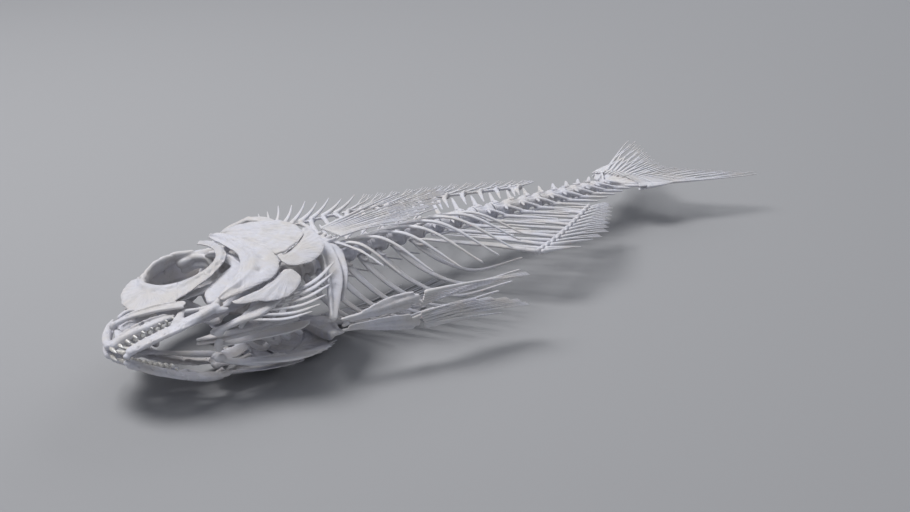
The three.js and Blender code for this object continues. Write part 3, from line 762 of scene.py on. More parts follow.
def braincase_shapes():
    crest_low = [[48, 35], [60, 32], [70, 27], [80, 25]]
    crest_top = [[50, 37.4], [60, 46.5], [69, 53.2], [78, 57.4], [86.4, 58.4]]
    middle = [
        # forehead and roof
        tube([[13, 7, 0], [27, 22, 0], [39, 33.5, 0], [54, 38, 0], [70, 37, 0]],
             [1.8, 1.5, 1.4, 1.7, 3], [3.5, 6.4, 9.6, 12.2, 12.4], 32, 50),
        # the bar under the orbits
        tube([[14, 3, 0], [34, 0.6, 0], [56, 2.5, 0], [70, 9, 0]], [2, 1.2, 1.3, 4], [3, 1.5, 1.8, 5]),
        # the seat of the first vertebra
        tube([[62, 12, 0], [80, 13, 0], [86.1, 13, 0]], [7, 4.4, 4.5], [7, 4.4, 4.6], 24),
        # the chamber of the brain, and the wall behind the orbits
        blob([72.5, 22, 0], [12.4, 14.4, 12.8]),
        tube([[59, 5, 0], [61.6, 12, 0], [60.4, 22, 0], [56, 34, 0]],
             [1.5, 1.0, 1.3, 2], [1.4, 0.9, 1.6, 3.4]),
        # nose
        blob([24, 11, 0], [7, 10.5, 5.6]),
        blob([15.5, 6.5, 0], [6.3, 4.8, 5.2]),
        # the crest, its rims and the spur under it
        blade(crest_low, crest_top, 3.2, 0.9),
        tube([[50, 37, 0], [60, 46.3, 0], [69, 53, 0], [78, 57.2, 0], [86, 58, 0]], [0.9, 0.8], [0.9, 0.8]),
        tube([[82, 27, 0], [84.4, 44, 0], [86.4, 57.4, 0]], [1.1, 0.8, 0.7], [1.1, 0.9, 0.7]),
        tube([[80, 19, 0], [84.5, 18.4, 0]], [2.6, 1.6], [3.4, 2.2]),
    ]
    left = [
        # the wall ahead of the orbit
        tube([[25, 14, 2], [29, 14, 8], [31, 13, 11.2]], [5, 3.4, 2], [2, 1.6, 1.4]),
        # the upper rim of the orbit, and the roof within it
        tube([[31, 18, 8.6], [36, 28, 9.4], [45, 33.6, 11.6], [55, 34, 13], [62, 29.6, 13.6]],
             [1.0, 1.1, 1.2, 1.4, 1.3], [1.2, 1.3, 1.5, 1.4, 1.4]),
        tube([[33, 24.6, 7.4], [41, 31.8, 9.2], [50, 35, 10.6], [57, 35, 11]],
             [1.2, 1.4, 1.5, 1.2], [2, 2.4, 2.6, 2]),
        # the hind rim of the orbit
        tube([[57, 33, 6], [61, 26, 9.6], [62.4, 18, 10], [60.6, 9, 5]],
             [1.6, 1.1, 1, 1.2], [1.4, 1.5, 1.3, 1.2]),
        tube([[61.4, 14, 1], [63, 15, 6], [63.4, 18, 10]], [1, 0.9, 1], [1.2, 1.2, 1.2]),
        # the ridge that the cheek hangs from, the one beside the crest, the corner between them
        tube([[55, 33, 9], [64, 28, 12.8], [75, 26.2, 12.8], [83.6, 24.6, 11.8]],
             [2, 2.6, 2, 1.1], [2, 1.8, 1.5, 1.1]),
        tube([[53, 38.5, 5], [62, 40.4, 7], [70, 39.4, 8.6], [83, 33, 8.4]],
             [1, 2.2, 2.2, 0.9], [0.9, 0.9, 1, 0.8]),
        tube([[60, 30, 12], [62, 22, 13.4], [61, 14, 10]], [1.6, 1.4, 1], [1.4, 1.3, 1]),
        # the ear's swelling, and the hind corner over it
        tube([[66, 10, 5], [74, 8.6, 6.6], [82, 11, 5]], [3, 4.2, 2.6], [2.4, 3.2, 2]),
        tube([[78, 34, 6.6], [82, 30, 9.6], [82, 22, 8]], [1.2, 1.6, 1.2], [1.4, 1.4, 1.2]),
        # nasal bone
        tube([[23, 20.6, 4.6], [17.5, 14.5, 4.9], [12.6, 9.4, 4]], [1.3, 1.5, 1], [1.1, 1.3, 0.9]),
        # the shelf over the ear, and the wing that rises from the bar under the orbits
        tube([[70, 20, 11.4], [78, 19, 10.4], [84, 17.6, 6]], [1.1, 1, 0.8], [1.6, 1.4, 1.2]),
        tube([[56, 3, 0.6], [64, 10, 5.4], [66, 17, 9]], [1.6, 1.6, 1.2], [0.9, 1, 1]),
    ]
    return middle + left + [on_side(shape, -1) for shape in left]


def braincase_relief(p):
    x, y, z = p.T
    crest = smoothstep((y - 39) / 4) * smoothstep((3.2 - np.abs(z)) / 1.5)
    angle = np.arctan2(y - 27, x - 66)
    ribs = 0.17 * np.sin(angle * 34 + 1.5 * noise(p, 9, 7)) * crest
    roof = smoothstep((y - 20) / 10) * smoothstep((60 - x) / 12) * (1 - crest)
    fibres = 0.09 * np.sin(1.9 * (x * 0.6 + y * 0.5) + 2.2 * noise(p, 4, 8)) * roof
    side = smoothstep((np.abs(z) - 4) / 3)
    pores = dimples(p, [[32, 28.4], [38, 32.6], [45, 35.2], [52, 36.2]], 1.0, 0.55) * side
    foramina = dimples(p, [[71, 12.5], [66, 17.5], [77, 14.6]], 1.3, 0.9) * side
    wall = smoothstep((66 - x) / 4) * smoothstep(1 - np.abs(y - 20) / 9)
    wall *= -1.6 * smoothstep(1 - np.abs(np.abs(z) - 5) / 4)
    return rough_bone(p) + ribs + fibres + pores + foramina + wall + sutures(p, SKULL_SUTURES) * side


class SKELETON_OT_braincase(bpy.types.Operator):
    """Model the braincase with its crest"""

    bl_idname = "skeleton.braincase"
    bl_label = "Braincase"

    def execute(self, context):
        shape = fused(braincase_shapes(), 1.0, 3)
        stand("braincase_bone", shape, finish_for("skull"), "bone", ["braincase"], braincase_relief)
        return {"FINISHED"}


# ---------------------------------------------------------------- jaws and teeth
UPPER_GUM = [[2.4, -1.3, 1.5], [9, -4.5, 5.4], [17, -8, 8.6], [24, -11, 10.6]]
LOWER_GUM = [[3.4, -8, 1.6], [11, -11.5, 5.4], [19, -14.5, 8.8]]


def premaxilla_shapes():
    gum = [[x, y + 0.6, z] for x, y, z in UPPER_GUM]
    return [
        # the arm that runs up the snout
        tube([[2.2, -1, 1.7], [5, 6, 1.8], [11, 14, 1.9], [17, 20, 1.8]],
             [1.9, 1.6, 1.3, 0.7], [1.5, 1.0, 0.8, 0.5]),
        tube([[3.4, 0, 1.2], [7.4, 7.4, 1.2], [13, 15, 1.3]], [0.6, 0.5, 0.4], [1.1, 1.0, 0.7]),
        # the toothed arm with the ridge along it
        tube(gum, [2.1, 1.8, 1.9, 1.1], [1.7, 1.6, 1.1, 0.5], 18, 34),
        tube([[3, 1.4, 2.2], [9, -1.6, 6.6], [16, -5, 9.8], [22, -8.4, 11.2]],
             [0.6, 0.5, 0.5, 0.3], [0.6, 0.5, 0.4, 0.3]),
        # the humps at its root and at its end
        tube([[6, -2, 3.4], [8.6, 3.4, 4.4], [9.6, 6.4, 4.2]], [2.0, 1.5, 0.9], [0.9, 0.8, 0.6]),
        tube([[13.4, -6.6, 7.2], [18.5, -5, 8.8], [23, -8.4, 10.4]], [1.2, 1.9, 0.8], [0.6, 0.55, 0.4]),
    ]


def maxilla_shapes():
    return [
        # the shaft with its broad end
        tube([[9, 6.4, 6.4], [13, 2.4, 9.2], [20, -3.5, 12], [29, -10.5, 14]],
             [1.5, 1.4, 2.0, 3.5], [1.0, 0.85, 0.6, 0.4], 22, 38),
        # the head that rocks on the snout
        tube([[8, 7.4, 4.6], [10, 6.2, 7]], [1.8, 1.4], [1.5, 1.4]),
        tube([[11.5, 5, 7.8], [15, 4.6, 9.4]], [1.2, 0.7], [0.9, 0.6]),
        # ridges along the shaft
        tube([[10.6, 5.4, 8], [15, 1.6, 11], [21, -2.6, 13], [27, -7.2, 14.4]],
             [0.6, 0.5, 0.5, 0.3], [0.6, 0.5, 0.5, 0.3]),
        tube([[15, -0.6, 9.8], [21, -6.6, 12.2], [27, -12.4, 13.4]], [0.5, 0.5, 0.4], [0.5, 0.45, 0.35]),
    ]


def lower_jaw_shapes():
    return [
        # the blade with its gum
        tube([[3, -9.5, 1.9], [11, -14, 5.6], [22, -18, 10], [35, -20.6, 13.4]],
             [2, 2.6, 3.9, 1.9], [1.4, 1.15, 0.75, 1.3], 24, 44),
        tube([[4, -8.6, 1.9], [11, -12, 5.5], [19, -15, 8.9]], [0.9, 1.0, 0.7], [1.4, 1.4, 0.9]),
        # the horn behind the teeth, and the edges from it to the joint
        tube([[19.4, -17, 9.2], [26.5, -11.2, 11.6]], [2.8, 1.1], [0.7, 0.6]),
        tube([[26.4, -11.4, 11.6], [31, -16.4, 12.8], [36, -19.6, 13.6]], [0.9, 0.8, 1.2], [0.6, 0.7, 1.2]),
        tube([[19, -19, 9.2], [28, -20.8, 12.2], [36.4, -20.6, 13.6]], [1.2, 1.4, 1.6], [1.1, 1.2, 1.5]),
        # the socket of the joint and the heel behind it
        tube([[33.6, -19.4, 13.2], [36.8, -18.6, 13.6], [38.8, -16.2, 13.8]],
             [1.7, 1.3, 0.7], [1.5, 1.8, 1.2]),
        tube([[33.4, -21.2, 12.8], [36.6, -22.4, 12.6], [39, -22.4, 12.4]], [1.6, 1.3, 0.5], [1.2, 0.9, 0.5]),
        # the ridge along the underside, and the chin
        tube([[3, -10.4, 2.2], [11, -16, 6.2], [21, -21, 10]], [0.8, 0.8, 0.7], [0.8, 0.9, 0.8]),
        tube([[2.6, -9, 1.1], [3, -12, 1.3]], [1.4, 1], [1, 0.9]),
    ]


TOOTH_HEIGHT = np.array([-0.25, 0.0, 0.35, 0.68, 0.9, 1.0])  # of its rings, from the root up
TOOTH_SHARP = np.array([0.95, 1.0, 0.78, 0.5, 0.26, 0.06])
TOOTH_BLUNT = np.array([0.95, 1.0, 1.02, 0.92, 0.62, 0.12])
TOOTH_SIDES = 8
TOOTH_BEND = 0.2


def tooth(blunt):
    """A tooth of unit height and radius, from its root up +Y."""
    rings = turned(TOOTH_HEIGHT, TOOTH_SHARP * (1 - blunt) + TOOTH_BLUNT * blunt, TOOTH_SIDES)
    rings[..., 0] += TOOTH_BEND * TOOTH_HEIGHT[:, None] ** 2
    return loft(rings)


def tooth_row(gum, count, way, heights, radii, shift=0.0, blunt=0.0, span=(0.0, 0.93)):
    """Teeth along a gum line on both sides of the mouth, down with way = -1."""
    t = np.linspace(*span, count)
    places = spline([[x, y + way * 0.5, z - shift] for x, y, z in gum], t)
    tall, thick = through(heights, t), through(radii, t)
    lean = np.radians(through([14, 4, -4], t))
    turns = np.stack([np.full(count, 0.0 if way > 0 else np.pi), 0 * t, lean * way], axis=-1)
    sizes = np.stack([thick, tall, thick], axis=-1)
    both = np.vstack([places, places * [1, 1, -1]])
    turns, sizes = np.vstack([turns, turns]), np.vstack([sizes, sizes])
    return repeated(tooth(blunt), both, turns, sizes, finish_for("teeth"))


class SKELETON_OT_jaws(bpy.types.Operator):
    """Model the jaws and set their teeth"""

    bl_idname = "skeleton.jaws"
    bl_label = "Jaws and teeth"

    def execute(self, context):
        material = finish_for("skull")
        holes = [[5.6, 0.6], [10, -2.4], [7.6, 9.4], [14, -4.4]]
        nicks = [[12, 3.4], [16, 0.4]]
        pores = [[6, -13], [10, -15], [14.5, -17], [19.5, -18.6], [27, -17.6]]
        seam = [[[19, -12], [22, -17.4], [19, -21.5]]]
        parts = {
            "premaxilla": (premaxilla_shapes, lambda p: rough_bone(p, 0.14) + dimples(p, holes, 0.7, 0.5)),
            "maxilla": (maxilla_shapes, lambda p: rough_bone(p, 0.14) + dimples(p, nicks, 0.6, 0.4)),
            "lower_jaw": (
                lower_jaw_shapes,
                lambda p: rough_bone(p, 0.14) + dimples(p, pores, 0.9, 0.6) + sutures(p, seam, 0.25),
            ),
        }
        for part, (shapes, relief) in parts.items():
            shape = fused(shapes(), 0.8, 2)
            stand_pair(f"{part}_bone", shape, material, "bone", part, relief=relief)
        rows = [
            tooth_row(UPPER_GUM, 9, -1, [4.2, 3.4, 2.2, 1.6, 1.2], [0.95, 0.85, 0.7, 0.6, 0.5]),
            tooth_row(LOWER_GUM, 8, 1, [3.8, 3.0, 2.1, 1.7, 1.4], [0.9, 0.8, 0.68, 0.62, 0.55]),
            tooth_row(UPPER_GUM, 8, -1, [1.3, 1.5, 1.6, 1.2], [0.7, 0.95, 1.0, 0.7], 1.5, 1.0, (0.18, 0.86)),
            tooth_row(LOWER_GUM, 7, 1, [1.2, 1.4, 1.5, 1.2], [0.7, 0.9, 0.95, 0.7], 1.5, 1.0, (0.2, 0.9)),
        ]
        shape = merged(rows)
        one = np.repeat([0, 0.1, 0.4, 0.7, 0.9, 1.0], TOOTH_SIDES)
        marks = {"along": np.tile(one, len(shape[0]) // len(one))}
        stand("teeth", shape, finish_for("teeth"), "bone", marks=marks)
        return {"FINISHED"}


# ---------------------------------------------------------------- cheeks
def cheek_shapes():
    return [
        # the upright bone under the braincase, its front ridge and the peg of the gill cover
        tube([[65, 23, 14.6], [63.4, 10, 16.6], inside(59, -4, 3.2)], [4.4, 2.9, 2.3], [1.3, 0.9, 0.8]),
        tube([[61.6, 22.6, 14.4], [62.4, 10, 17.4], inside(60, -6, 2.6)], [0.8, 0.7, 0.6], [1, 0.9, 0.8]),
        tube([[66.6, 17, 16.4], [70.2, 17.6, 17.4]], [1.8, 1.2], [1.2, 1]),
        # the bones down to the joint of the lower jaw
        tube([inside(62, 0, 3.4), inside(50, -5.4, 3), inside(44, -8, 2.8)],
             [3.2, 4.6, 4.6], [0.8, 0.8, 0.9]),
        tube([inside(46, -7, 2.8), inside(41, -11.6, 2), inside(36.9, -14.9, 1.4)],
             [5.6, 4, 1.5], [0.9, 0.9, 1.4]),
        tube([inside(58, -8, 2.6), inside(48, -13.6, 2.4), inside(41, -15.4, 2.2)],
             [1, 1, 0.7], [0.9, 0.9, 0.8]),
        # the bar forward to the palate, and its hook
        tube([inside(46, -4, 3), [32, 0.8, 10.6], [21, 5, 8]], [2.8, 2.1, 1.4], [0.9, 0.8, 0.8]),
        tube([[22, 4.6, 8.2], [16, 8, 8.8], [11.6, 8, 7.4]], [1.3, 1.1, 0.8], [1, 1, 0.8]),
    ]


class SKELETON_OT_cheeks(bpy.types.Operator):
    """Model the bones that hang the jaws from the braincase"""

    bl_idname = "skeleton.cheeks"
    bl_label = "Cheek bones"

    def execute(self, context):
        shape = fused(cheek_shapes(), 0.85, 2)
        stand_pair("cheek_bone", shape, finish_for("skull"), "bone", "cheek", relief=roughness_of(0.16))
        return {"FINISHED"}


# ---------------------------------------------------------------- plates of the head
def plate_grid(first, second, n, m, corner):
    """A grid between two edges of the side view, its s and v, and the distance to its rim.
    corner is how far its four corners are rounded off."""
    s, v = np.meshgrid(np.linspace(0, 1, n), np.linspace(0, 1, m), indexing="ij")
    across, along = 2 * v - 1, 2 * s - 1
    round_s = 0.5 + 0.5 * along * np.sqrt(1 - corner * across**4)
    round_v = 0.5 + 0.5 * across * np.sqrt(1 - corner * along**4)
    a = spline(first, round_s.ravel(), even=True).reshape(n, m, 2)
    b = spline(second, round_s.ravel(), even=True).reshape(n, m, 2)
    xy = a + (b - a) * round_v[..., None]
    long = np.linalg.norm(np.diff(xy[:, m // 2], axis=0), axis=1).sum()
    wide = np.linalg.norm(xy[:, -1] - xy[:, 0], axis=1)
    rim = np.minimum(np.minimum(s, 1 - s) * long, np.minimum(v, 1 - v) * wide[:, None])
    return xy, s, v, rim


def head_plate(first, second, centre, relief, n, m, lift, thick, seed, rough=0.35, corner=0.25):
    """A plate on the side of the head: its shape, and the fan angle and reach of its points."""
    xy, s, v, rim = plate_grid(first, second, n, m, corner)
    flat = xy.reshape(-1, 2)
    spots = np.c_[flat, np.zeros(len(flat))]
    ragged = np.stack([noise(spots, 2.6, seed), noise(spots, 2.6, seed + 1)], axis=-1)
    edge = smoothstep(1 - rim / 2.5)
    xy = xy + (rough * ragged).reshape(n, m, 2) * edge[..., None]
    away = xy - np.asarray(centre, float)
    fan = np.arctan2(away[..., 1], away[..., 0])
    reach = np.hypot(away[..., 0], away[..., 1])
    grain = 0.05 * noise(spots, 1.3, seed + 2) + 0.1 * noise(spots, 5, seed + 4)
    rise = relief(s, v, fan, reach) + grain.reshape(n, m)
    depth = thick * (0.36 + 0.64 * smoothstep(rim / 2.2))
    z = head_side(xy[..., 0], xy[..., 1]) + lift + rise - 0.22 * (1 - smoothstep(rim / 1.1))
    shape = slab(np.dstack([xy, z]), depth)
    return shape, np.tile(fan.ravel(), 2), np.tile(reach.ravel(), 2)


def rays_of(fan, reach, pitch, size, start=5.0):
    """Low ridges that fan out from where a plate began to grow."""
    return size * np.sin(fan * pitch) * smoothstep((reach - start) / 6)


def opercle_relief(s, v, fan, reach):
    strut = 0.5 * smoothstep(1 - np.abs(fan + 0.62) / 0.16) * smoothstep(1 - reach / 26)
    stout = 0.55 * smoothstep(1 - v / 0.16) + strut
    rings = 0.07 * np.sin(reach * 1.5) * smoothstep((reach - 12) / 6)
    return stout + rays_of(fan, reach, 42, 0.13) + rings - 1.15 * smoothstep(1 - v / 0.1)


def subopercle_relief(s, v, fan, reach):
    return rays_of(fan, reach, 46, 0.09) - 0.75 * smoothstep(1 - v / 0.3) + 0.05 * np.sin(reach * 1.6)


def interopercle_relief(s, v, fan, reach):
    return rays_of(fan, reach, 30, 0.08) - 0.5 * smoothstep(1 - v / 0.35) + 0.05 * np.sin(reach * 1.5)


def preopercle_relief(s, v, fan, reach):
    ridge = 0.85 * np.exp(-(((v - 0.34) / 0.11) ** 2))
    shelf = 0.35 * smoothstep((v - 0.34) / 0.2)
    canal = np.zeros_like(s)
    for k in range(CANAL_PORES):
        canal += np.exp(-((((s - 0.1 - 0.155 * k) * 62) / 1.3) ** 2) - (((v - 0.56) / 0.1) ** 2))
    fringe = 0.07 * np.sin(s * 150) * smoothstep((v - 0.72) / 0.2)
    return ridge + shelf - 0.75 * canal + fringe - 0.3


def eye_arc(t, out):
    """A point of the ring under the eye, t along it and a distance out from the orbit's rim."""
    angle = np.radians(EYE_RING_START + EYE_RING_SPAN * np.asarray(t))
    r = ORBIT_RADIUS + np.asarray(out)
    return np.stack([ORBIT[0] + r * np.cos(angle), ORBIT[1] + r * np.sin(angle)], axis=-1)


EYE_RING_START, EYE_RING_SPAN = 152, 232
EYE_DEPTH = [4, 11.5, 15.5, 12.5, 7.5, 5.2, 4.4, 4, 3.4, 3]
EYE_PLATES = [0.0, 0.345, 0.5, 0.63, 0.75, 0.87, 1.0]


def eye_plate(k):
    """Plate k of the ring under the eye, whose hind edge laps over the next."""
    lap = 0.012 if k < len(EYE_PLATES) - 2 else 0
    t = np.linspace(EYE_PLATES[k], EYE_PLATES[k + 1] + lap, 9)
    first, second = eye_arc(t, 0.4), eye_arc(t, through(EYE_DEPTH, t))
    middle = eye_arc((t[0] + t[-1]) / 2, 1.5)
    deep = float(through(EYE_DEPTH, (t[0] + t[-1]) / 2))

    def relief(s, v, fan, reach):
        canal = 0.5 * np.exp(-(((v * deep - 2.4) / 1.3) ** 2))
        pores = np.zeros_like(s)
        for at in (0.25, 0.75) if k else (0.15, 0.4, 0.65, 0.9):
            pores += np.exp(-(((s - at) / (0.05 if not k else 0.1)) ** 2) - (((v * deep - 3.6) / 0.8) ** 2))
        return canal - 0.5 * pores + rays_of(fan, reach, 24, 0.09, 2.0) - 0.4 * smoothstep(1 - s / 0.07)

    n, m = (34, 26) if k else (70, 46)
    return head_plate(
        first, second, middle, relief, n, m, lift=1.2, thick=1.0, seed=30 + k, rough=0.22, corner=0.05
    )


PLATES = {
    "preopercle": dict(
        first=[[64.5, 26], [63.6, 14], [61.5, 1], [53, -9.5], [38.5, -15.6]],
        second=[[69.5, 25], [71.5, 9], [70.4, -10], [61, -21], [39, -19.8]],
        centre=[63, -3], relief=preopercle_relief, n=150, m=40, lift=1.3, thick=1.2, seed=11,
    ),
    "opercle": dict(
        first=[[69.8, 25.6], [71.6, 9], [70.2, -9.8]],
        second=[[84, 28], [95.4, 17], [91.8, -0.6], [76, -10.6]],
        centre=[69.5, 24.5], relief=opercle_relief, n=110, m=80, lift=0.75, thick=1.15, seed=15,
    ),
    "subopercle": dict(
        first=[[70.6, -10.6], [77.6, -9.9], [88.5, -3.2], [95, 5.4]],
        second=[[69.6, -19.4], [80, -20.6], [91.5, -14], [98, 1.6]],
        centre=[72, -12], relief=subopercle_relief, n=100, m=36, lift=0.55, thick=0.95, seed=21,
    ),
    "interopercle": dict(
        first=[[41.5, -20.2], [53, -22.4], [61, -20.8], [69.6, -18.2]],
        second=[[42, -23.6], [54, -29.6], [62, -30.6], [70.6, -26.8]],
        centre=[68, -22], relief=interopercle_relief, n=90, m=34, lift=0.6, thick=0.95, seed=25,
    ),
}


class SKELETON_OT_plates(bpy.types.Operator):
    """Model the plates under the eye and of the gill covers"""

    bl_idname = "skeleton.plates"
    bl_label = "Head plates"

    def execute(self, context):
        material = finish_for("plate")
        pieces = {part: [head_plate(**facts)] for part, facts in PLATES.items()}
        pieces["eye_ring"] = [eye_plate(k) for k in range(len(EYE_PLATES) - 1)]
        for part, made in pieces.items():
            shapes, fans, reaches = zip(*made)
            marks = {"fan": np.concatenate(fans), "reach": np.concatenate(reaches)}
            shape = merged(shapes)
            stand_pair(f"{part}_plate", shape, material, "plate_bone", part, marks=marks, rounds=6)
        return {"FINISHED"}


# ---------------------------------------------------------------- gills
def hyoid_shapes():
    return [
        # the bar with its front knobs
        tube([[33, -22.6, 5.4], [40, -25.6, 8], [47, -27.4, 9.6], [54, -27, 11.2], [61, -26, 12.4]],
             [1.7, 2.0, 3.2, 2.9, 2.6], [1.2, 1.1, 1.0, 1.1, 1.3], 18, 40),
        blob([33.6, -21.4, 4.8], [2.7, 1.5, 1.4]),
        blob([33.2, -23.5, 5.0], [2.4, 1.6, 1.4]),
        # the link up to the cheek, and the ridge along the bar
        tube([[60, -25, 12.2], [64, -20, 14.6], [64.6, -14, 16.2]], [1.6, 1, 0.8], [1, 0.8, 0.7]),
        tube([[43, -25, 8.8], [52, -25.2, 10.9], [60, -24.2, 12.4]], [0.6, 0.7, 0.6], [1.4, 1.5, 1.3]),
    ]


def gill_ray(k):
    s = k / (GILL_RAYS - 1)
    start = [43 + 16 * s, -28 + 1.6 * s, 8.4 + 3.6 * s]
    end = [64 + 26 * s, -39 + 17.5 * s**1.5]
    middle = [(start[0] + end[0]) / 2, (start[1] + end[1]) / 2 - 3]
    points = [start, inside(*middle, 2.6), inside(*end, 2.2)]
    return strand(points, [0.55, 0.8, 1.05, 0.85, 0.3], [0.9, 0.5, 0.4, 0.45], 30)


def arch_points(k):
    return [
        [45 + 7 * k, -20 - 0.6 * k, 1.8],
        [58 + 5 * k, -16.4 - 1.2 * k, 11.4 - 0.9 * k],
        [70 + 2.6 * k, -4 - 0.6 * k, 12.6 - 1.1 * k],
        [66 + 3.2 * k, 4.5, 7.4 - 0.4 * k],
    ]


def raker():
    """A gill raker of unit height: a little tapering peg."""
    return loft(turned([-0.1, 0.35, 0.75, 1.0], [0.42, 0.3, 0.2, 0.06], 5))


def rakers():
    """Rakers along both sides of the arches, pointing into the mouth."""
    places, turns, sizes = [], [], []
    for k in range(GILL_ARCHES):
        t = np.linspace(0.14, 0.86, RAKERS)
        line = spline(arch_points(k), t)
        along = spline(arch_points(k), t + 0.01) - line
        slope = np.arctan2(along[:, 1], along[:, 0])
        for n, p in enumerate(line):
            places.append(p)
            turns.append([0.0, 0.0, slope[n] + 0.12 * (-1) ** n])
            tall = 2.4 * math.sin(math.pi * (0.12 + 0.76 * n / (RAKERS - 1))) - 0.15 * k
            sizes.append([0.9, tall, 0.9])
    return repeated(raker(), places, turns, sizes, finish_for("rib"))


class SKELETON_OT_gills(bpy.types.Operator):
    """Model the hyoid bars with their rays and the gill arches with their rakers"""

    bl_idname = "skeleton.gills"
    bl_label = "Gills"

    def execute(self, context):
        material, smoother = finish_for("rib"), roughness_of(0.08, 0.03)
        rays, _ = swept([gill_ray(k) for k in range(GILL_RAYS)], 10, material)
        hyoid = merged([fused(hyoid_shapes(), 0.9, 2), rays])
        floor = tube([[29, -15.2, 0.8], [40, -18, 0.8], [50, -20.5, 0.8], [71, -22, 0.8]],
                     [0.4, 1.7, 1.8, 1.4, 1.3, 1.4, 1.7], [0.5, 0.9, 1.0, 1.0], 16, 50)
        lines = [strand(arch_points(k), [1.1, 1.25, 1.15, 0.8], 0.85, 40) for k in range(GILL_ARCHES)]
        arches, _ = swept(lines, 10, material)
        pads = [blob([67.5 + 2.6 * k, 4.2, 7 - 0.4 * k], [2, 1.5, 1.7]) for k in range(GILL_ARCHES)]
        arch = merged([floor, arches, rakers(), *pads])
        stand_pair("hyoid_bones", hyoid, material, "bone", "gill_rays", relief=smoother)
        stand_pair("arch_bones", arch, material, "bone", "gill_arches")
        low = [[32.6, -24.4], [44, -28], [56, -31.8], [64, -32.6], [69.5, -30.6]]
        top = [[32.6, -22.4], [46, -24.4], [57, -25.6], [65, -27.4], [69.8, -29.8]]
        keel = merged([blade(low, top, 0.6, 1.1), blob([33.4, -23, 0], [1.9, 1.5, 2.6])])
        stand("throat_keel", keel, material, "bone", relief=smoother)
        return {"FINISHED"}


# ---------------------------------------------------------------- girdles
def shoulder_shapes():
    return [
        # the fork that hangs from the skull
        tube([[76, 41, 8.4], [84, 38.6, 15], [90.2, 30.6, 20.6]], [0.9, 2.1, 2.4], [0.8, 0.9, 1.0], 16, 30),
        tube([[78.6, 31, 10.6], [85, 35, 15.6]], [0.8, 1.3], [0.8, 0.9]),
        # the bone that joins it to the girdle
        tube([[88.4, 33, 19.8], [92.6, 25, 20.6], [94.4, 15, 19.4]],
             [1.4, 2.8, 1.5], [0.8, 0.9, 0.8], 18, 30),
        # the girdle's blade and the flange along its front
        tube([[92.4, 25, 18.8], [97, 8, 18.2], [95, -8, 17], [87, -24, 11.4], [73, -40, 2.6]],
             [1.8, 3.3, 4.2, 3.8, 1.4], [0.9, 0.9, 1.0, 1.0, 0.9], 22, 60),
        tube([[91.4, 24, 18.9], [93.4, 8, 19], [91.6, -8, 17.8], [84, -24, 12], [73, -39.4, 3.2]],
             [0.7, 0.8, 0.9, 0.9, 0.8], [1.4, 1.8, 2.0, 1.9, 1.2], 14, 60),
        # the bones behind it, down to the throat
        tube([[99, 4.6, 17.4], [101.4, -1, 17.2], [99.4, -6, 16.8]], [1.2, 1.5, 1.3], [0.8, 0.9, 0.8]),
        tube([[97.4, 4.6, 17.4], [99.6, 5.4, 17.5]], [1, 1.1], [0.8, 0.8]),
        tube([[97, -6.4, 16.8], [100, -9, 16.2], [96, -20, 11.6], [83.6, -33, 5]],
             [1.9, 2.3, 1.4, 0.9], [0.8, 0.8, 0.8, 0.7], 14, 40),
        tube([[97.6, -11, 15.4], [91.6, -20, 12.6]], [0.9, 0.9], [0.6, 0.6]),
        *[
            tube([[99.8, 3 - 2.7 * k, 17.3], [102.2, 3.2 - 2.9 * k, 17.6], [104.6, 3.6 - 3.1 * k, 18]],
                 [1.1, 0.65, 1.3], [0.8, 0.6, 0.9], 12, 16)
            for k in range(RADIALS)
        ],
        # the long splint behind the girdle
        tube([[96, 7, 17], [102.6, -4, 16.7], [106, -18, 15.4], [107, -31, 12]],
             [1.8, 1.3, 0.9, 0.4], [0.6, 0.6, 0.5, 0.4], 12, 30),
    ]


def hip_shapes():
    return [
        # the shaft, with the inner and outer ridges
        tube([[76, -40.5, 2.2], [90, -44.6, 3.2], [103, -48.6, 4.8], [107.6, -50.2, 5.2]],
             [0.8, 1.0, 1.7, 1.3], [0.6, 0.8, 1.4, 1.5], 16, 36),
        tube([[79, -41.4, 1.2], [94, -45.8, 1.3], [104, -49, 2.4]],
             [0.6, 0.6, 1.0], [0.7, 0.8, 1.2], 14, 30),
        tube([[84, -42.8, 3.2], [96, -45.4, 6.2], [105.4, -49.2, 7]],
             [0.5, 0.55, 0.9], [0.6, 0.7, 0.8], 12, 26),
        # the plate between them, and the spur at its hind end
        tube([[84, -43, 2.4], [96, -46.2, 3.8], [103, -48.4, 4.4]],
             [0.45, 0.5, 0.5], [1.0, 2.3, 1.4], 14, 26),
        tube([[104, -49.4, 3.4], [109, -50, 2.6], [113, -49.6, 2.2]],
             [1.0, 0.7, 0.3], [0.8, 0.6, 0.3], 12, 20),
    ]


class SKELETON_OT_girdles(bpy.types.Operator):
    """Model the shoulder and hip bones"""

    bl_idname = "skeleton.girdles"
    bl_label = "Girdles"

    def execute(self, context):
        seams = [[[90, 19], [94, 16], [97, 18]], [[93, -5.4], [97, -6], [101, -6.4]]]
        parts = {
            "shoulder": (shoulder_shapes, lambda p: rough_bone(p, 0.14) + sutures(p, seams, 0.2)),
            "hip": (hip_shapes, roughness_of(0.1)),
        }
        for part, (shapes, relief) in parts.items():
            shape = fused(shapes(), 0.9, 2)
            stand_pair(f"{part}_bones", shape, finish_for("skull"), "bone", part, relief=relief)
        return {"FINISHED"}


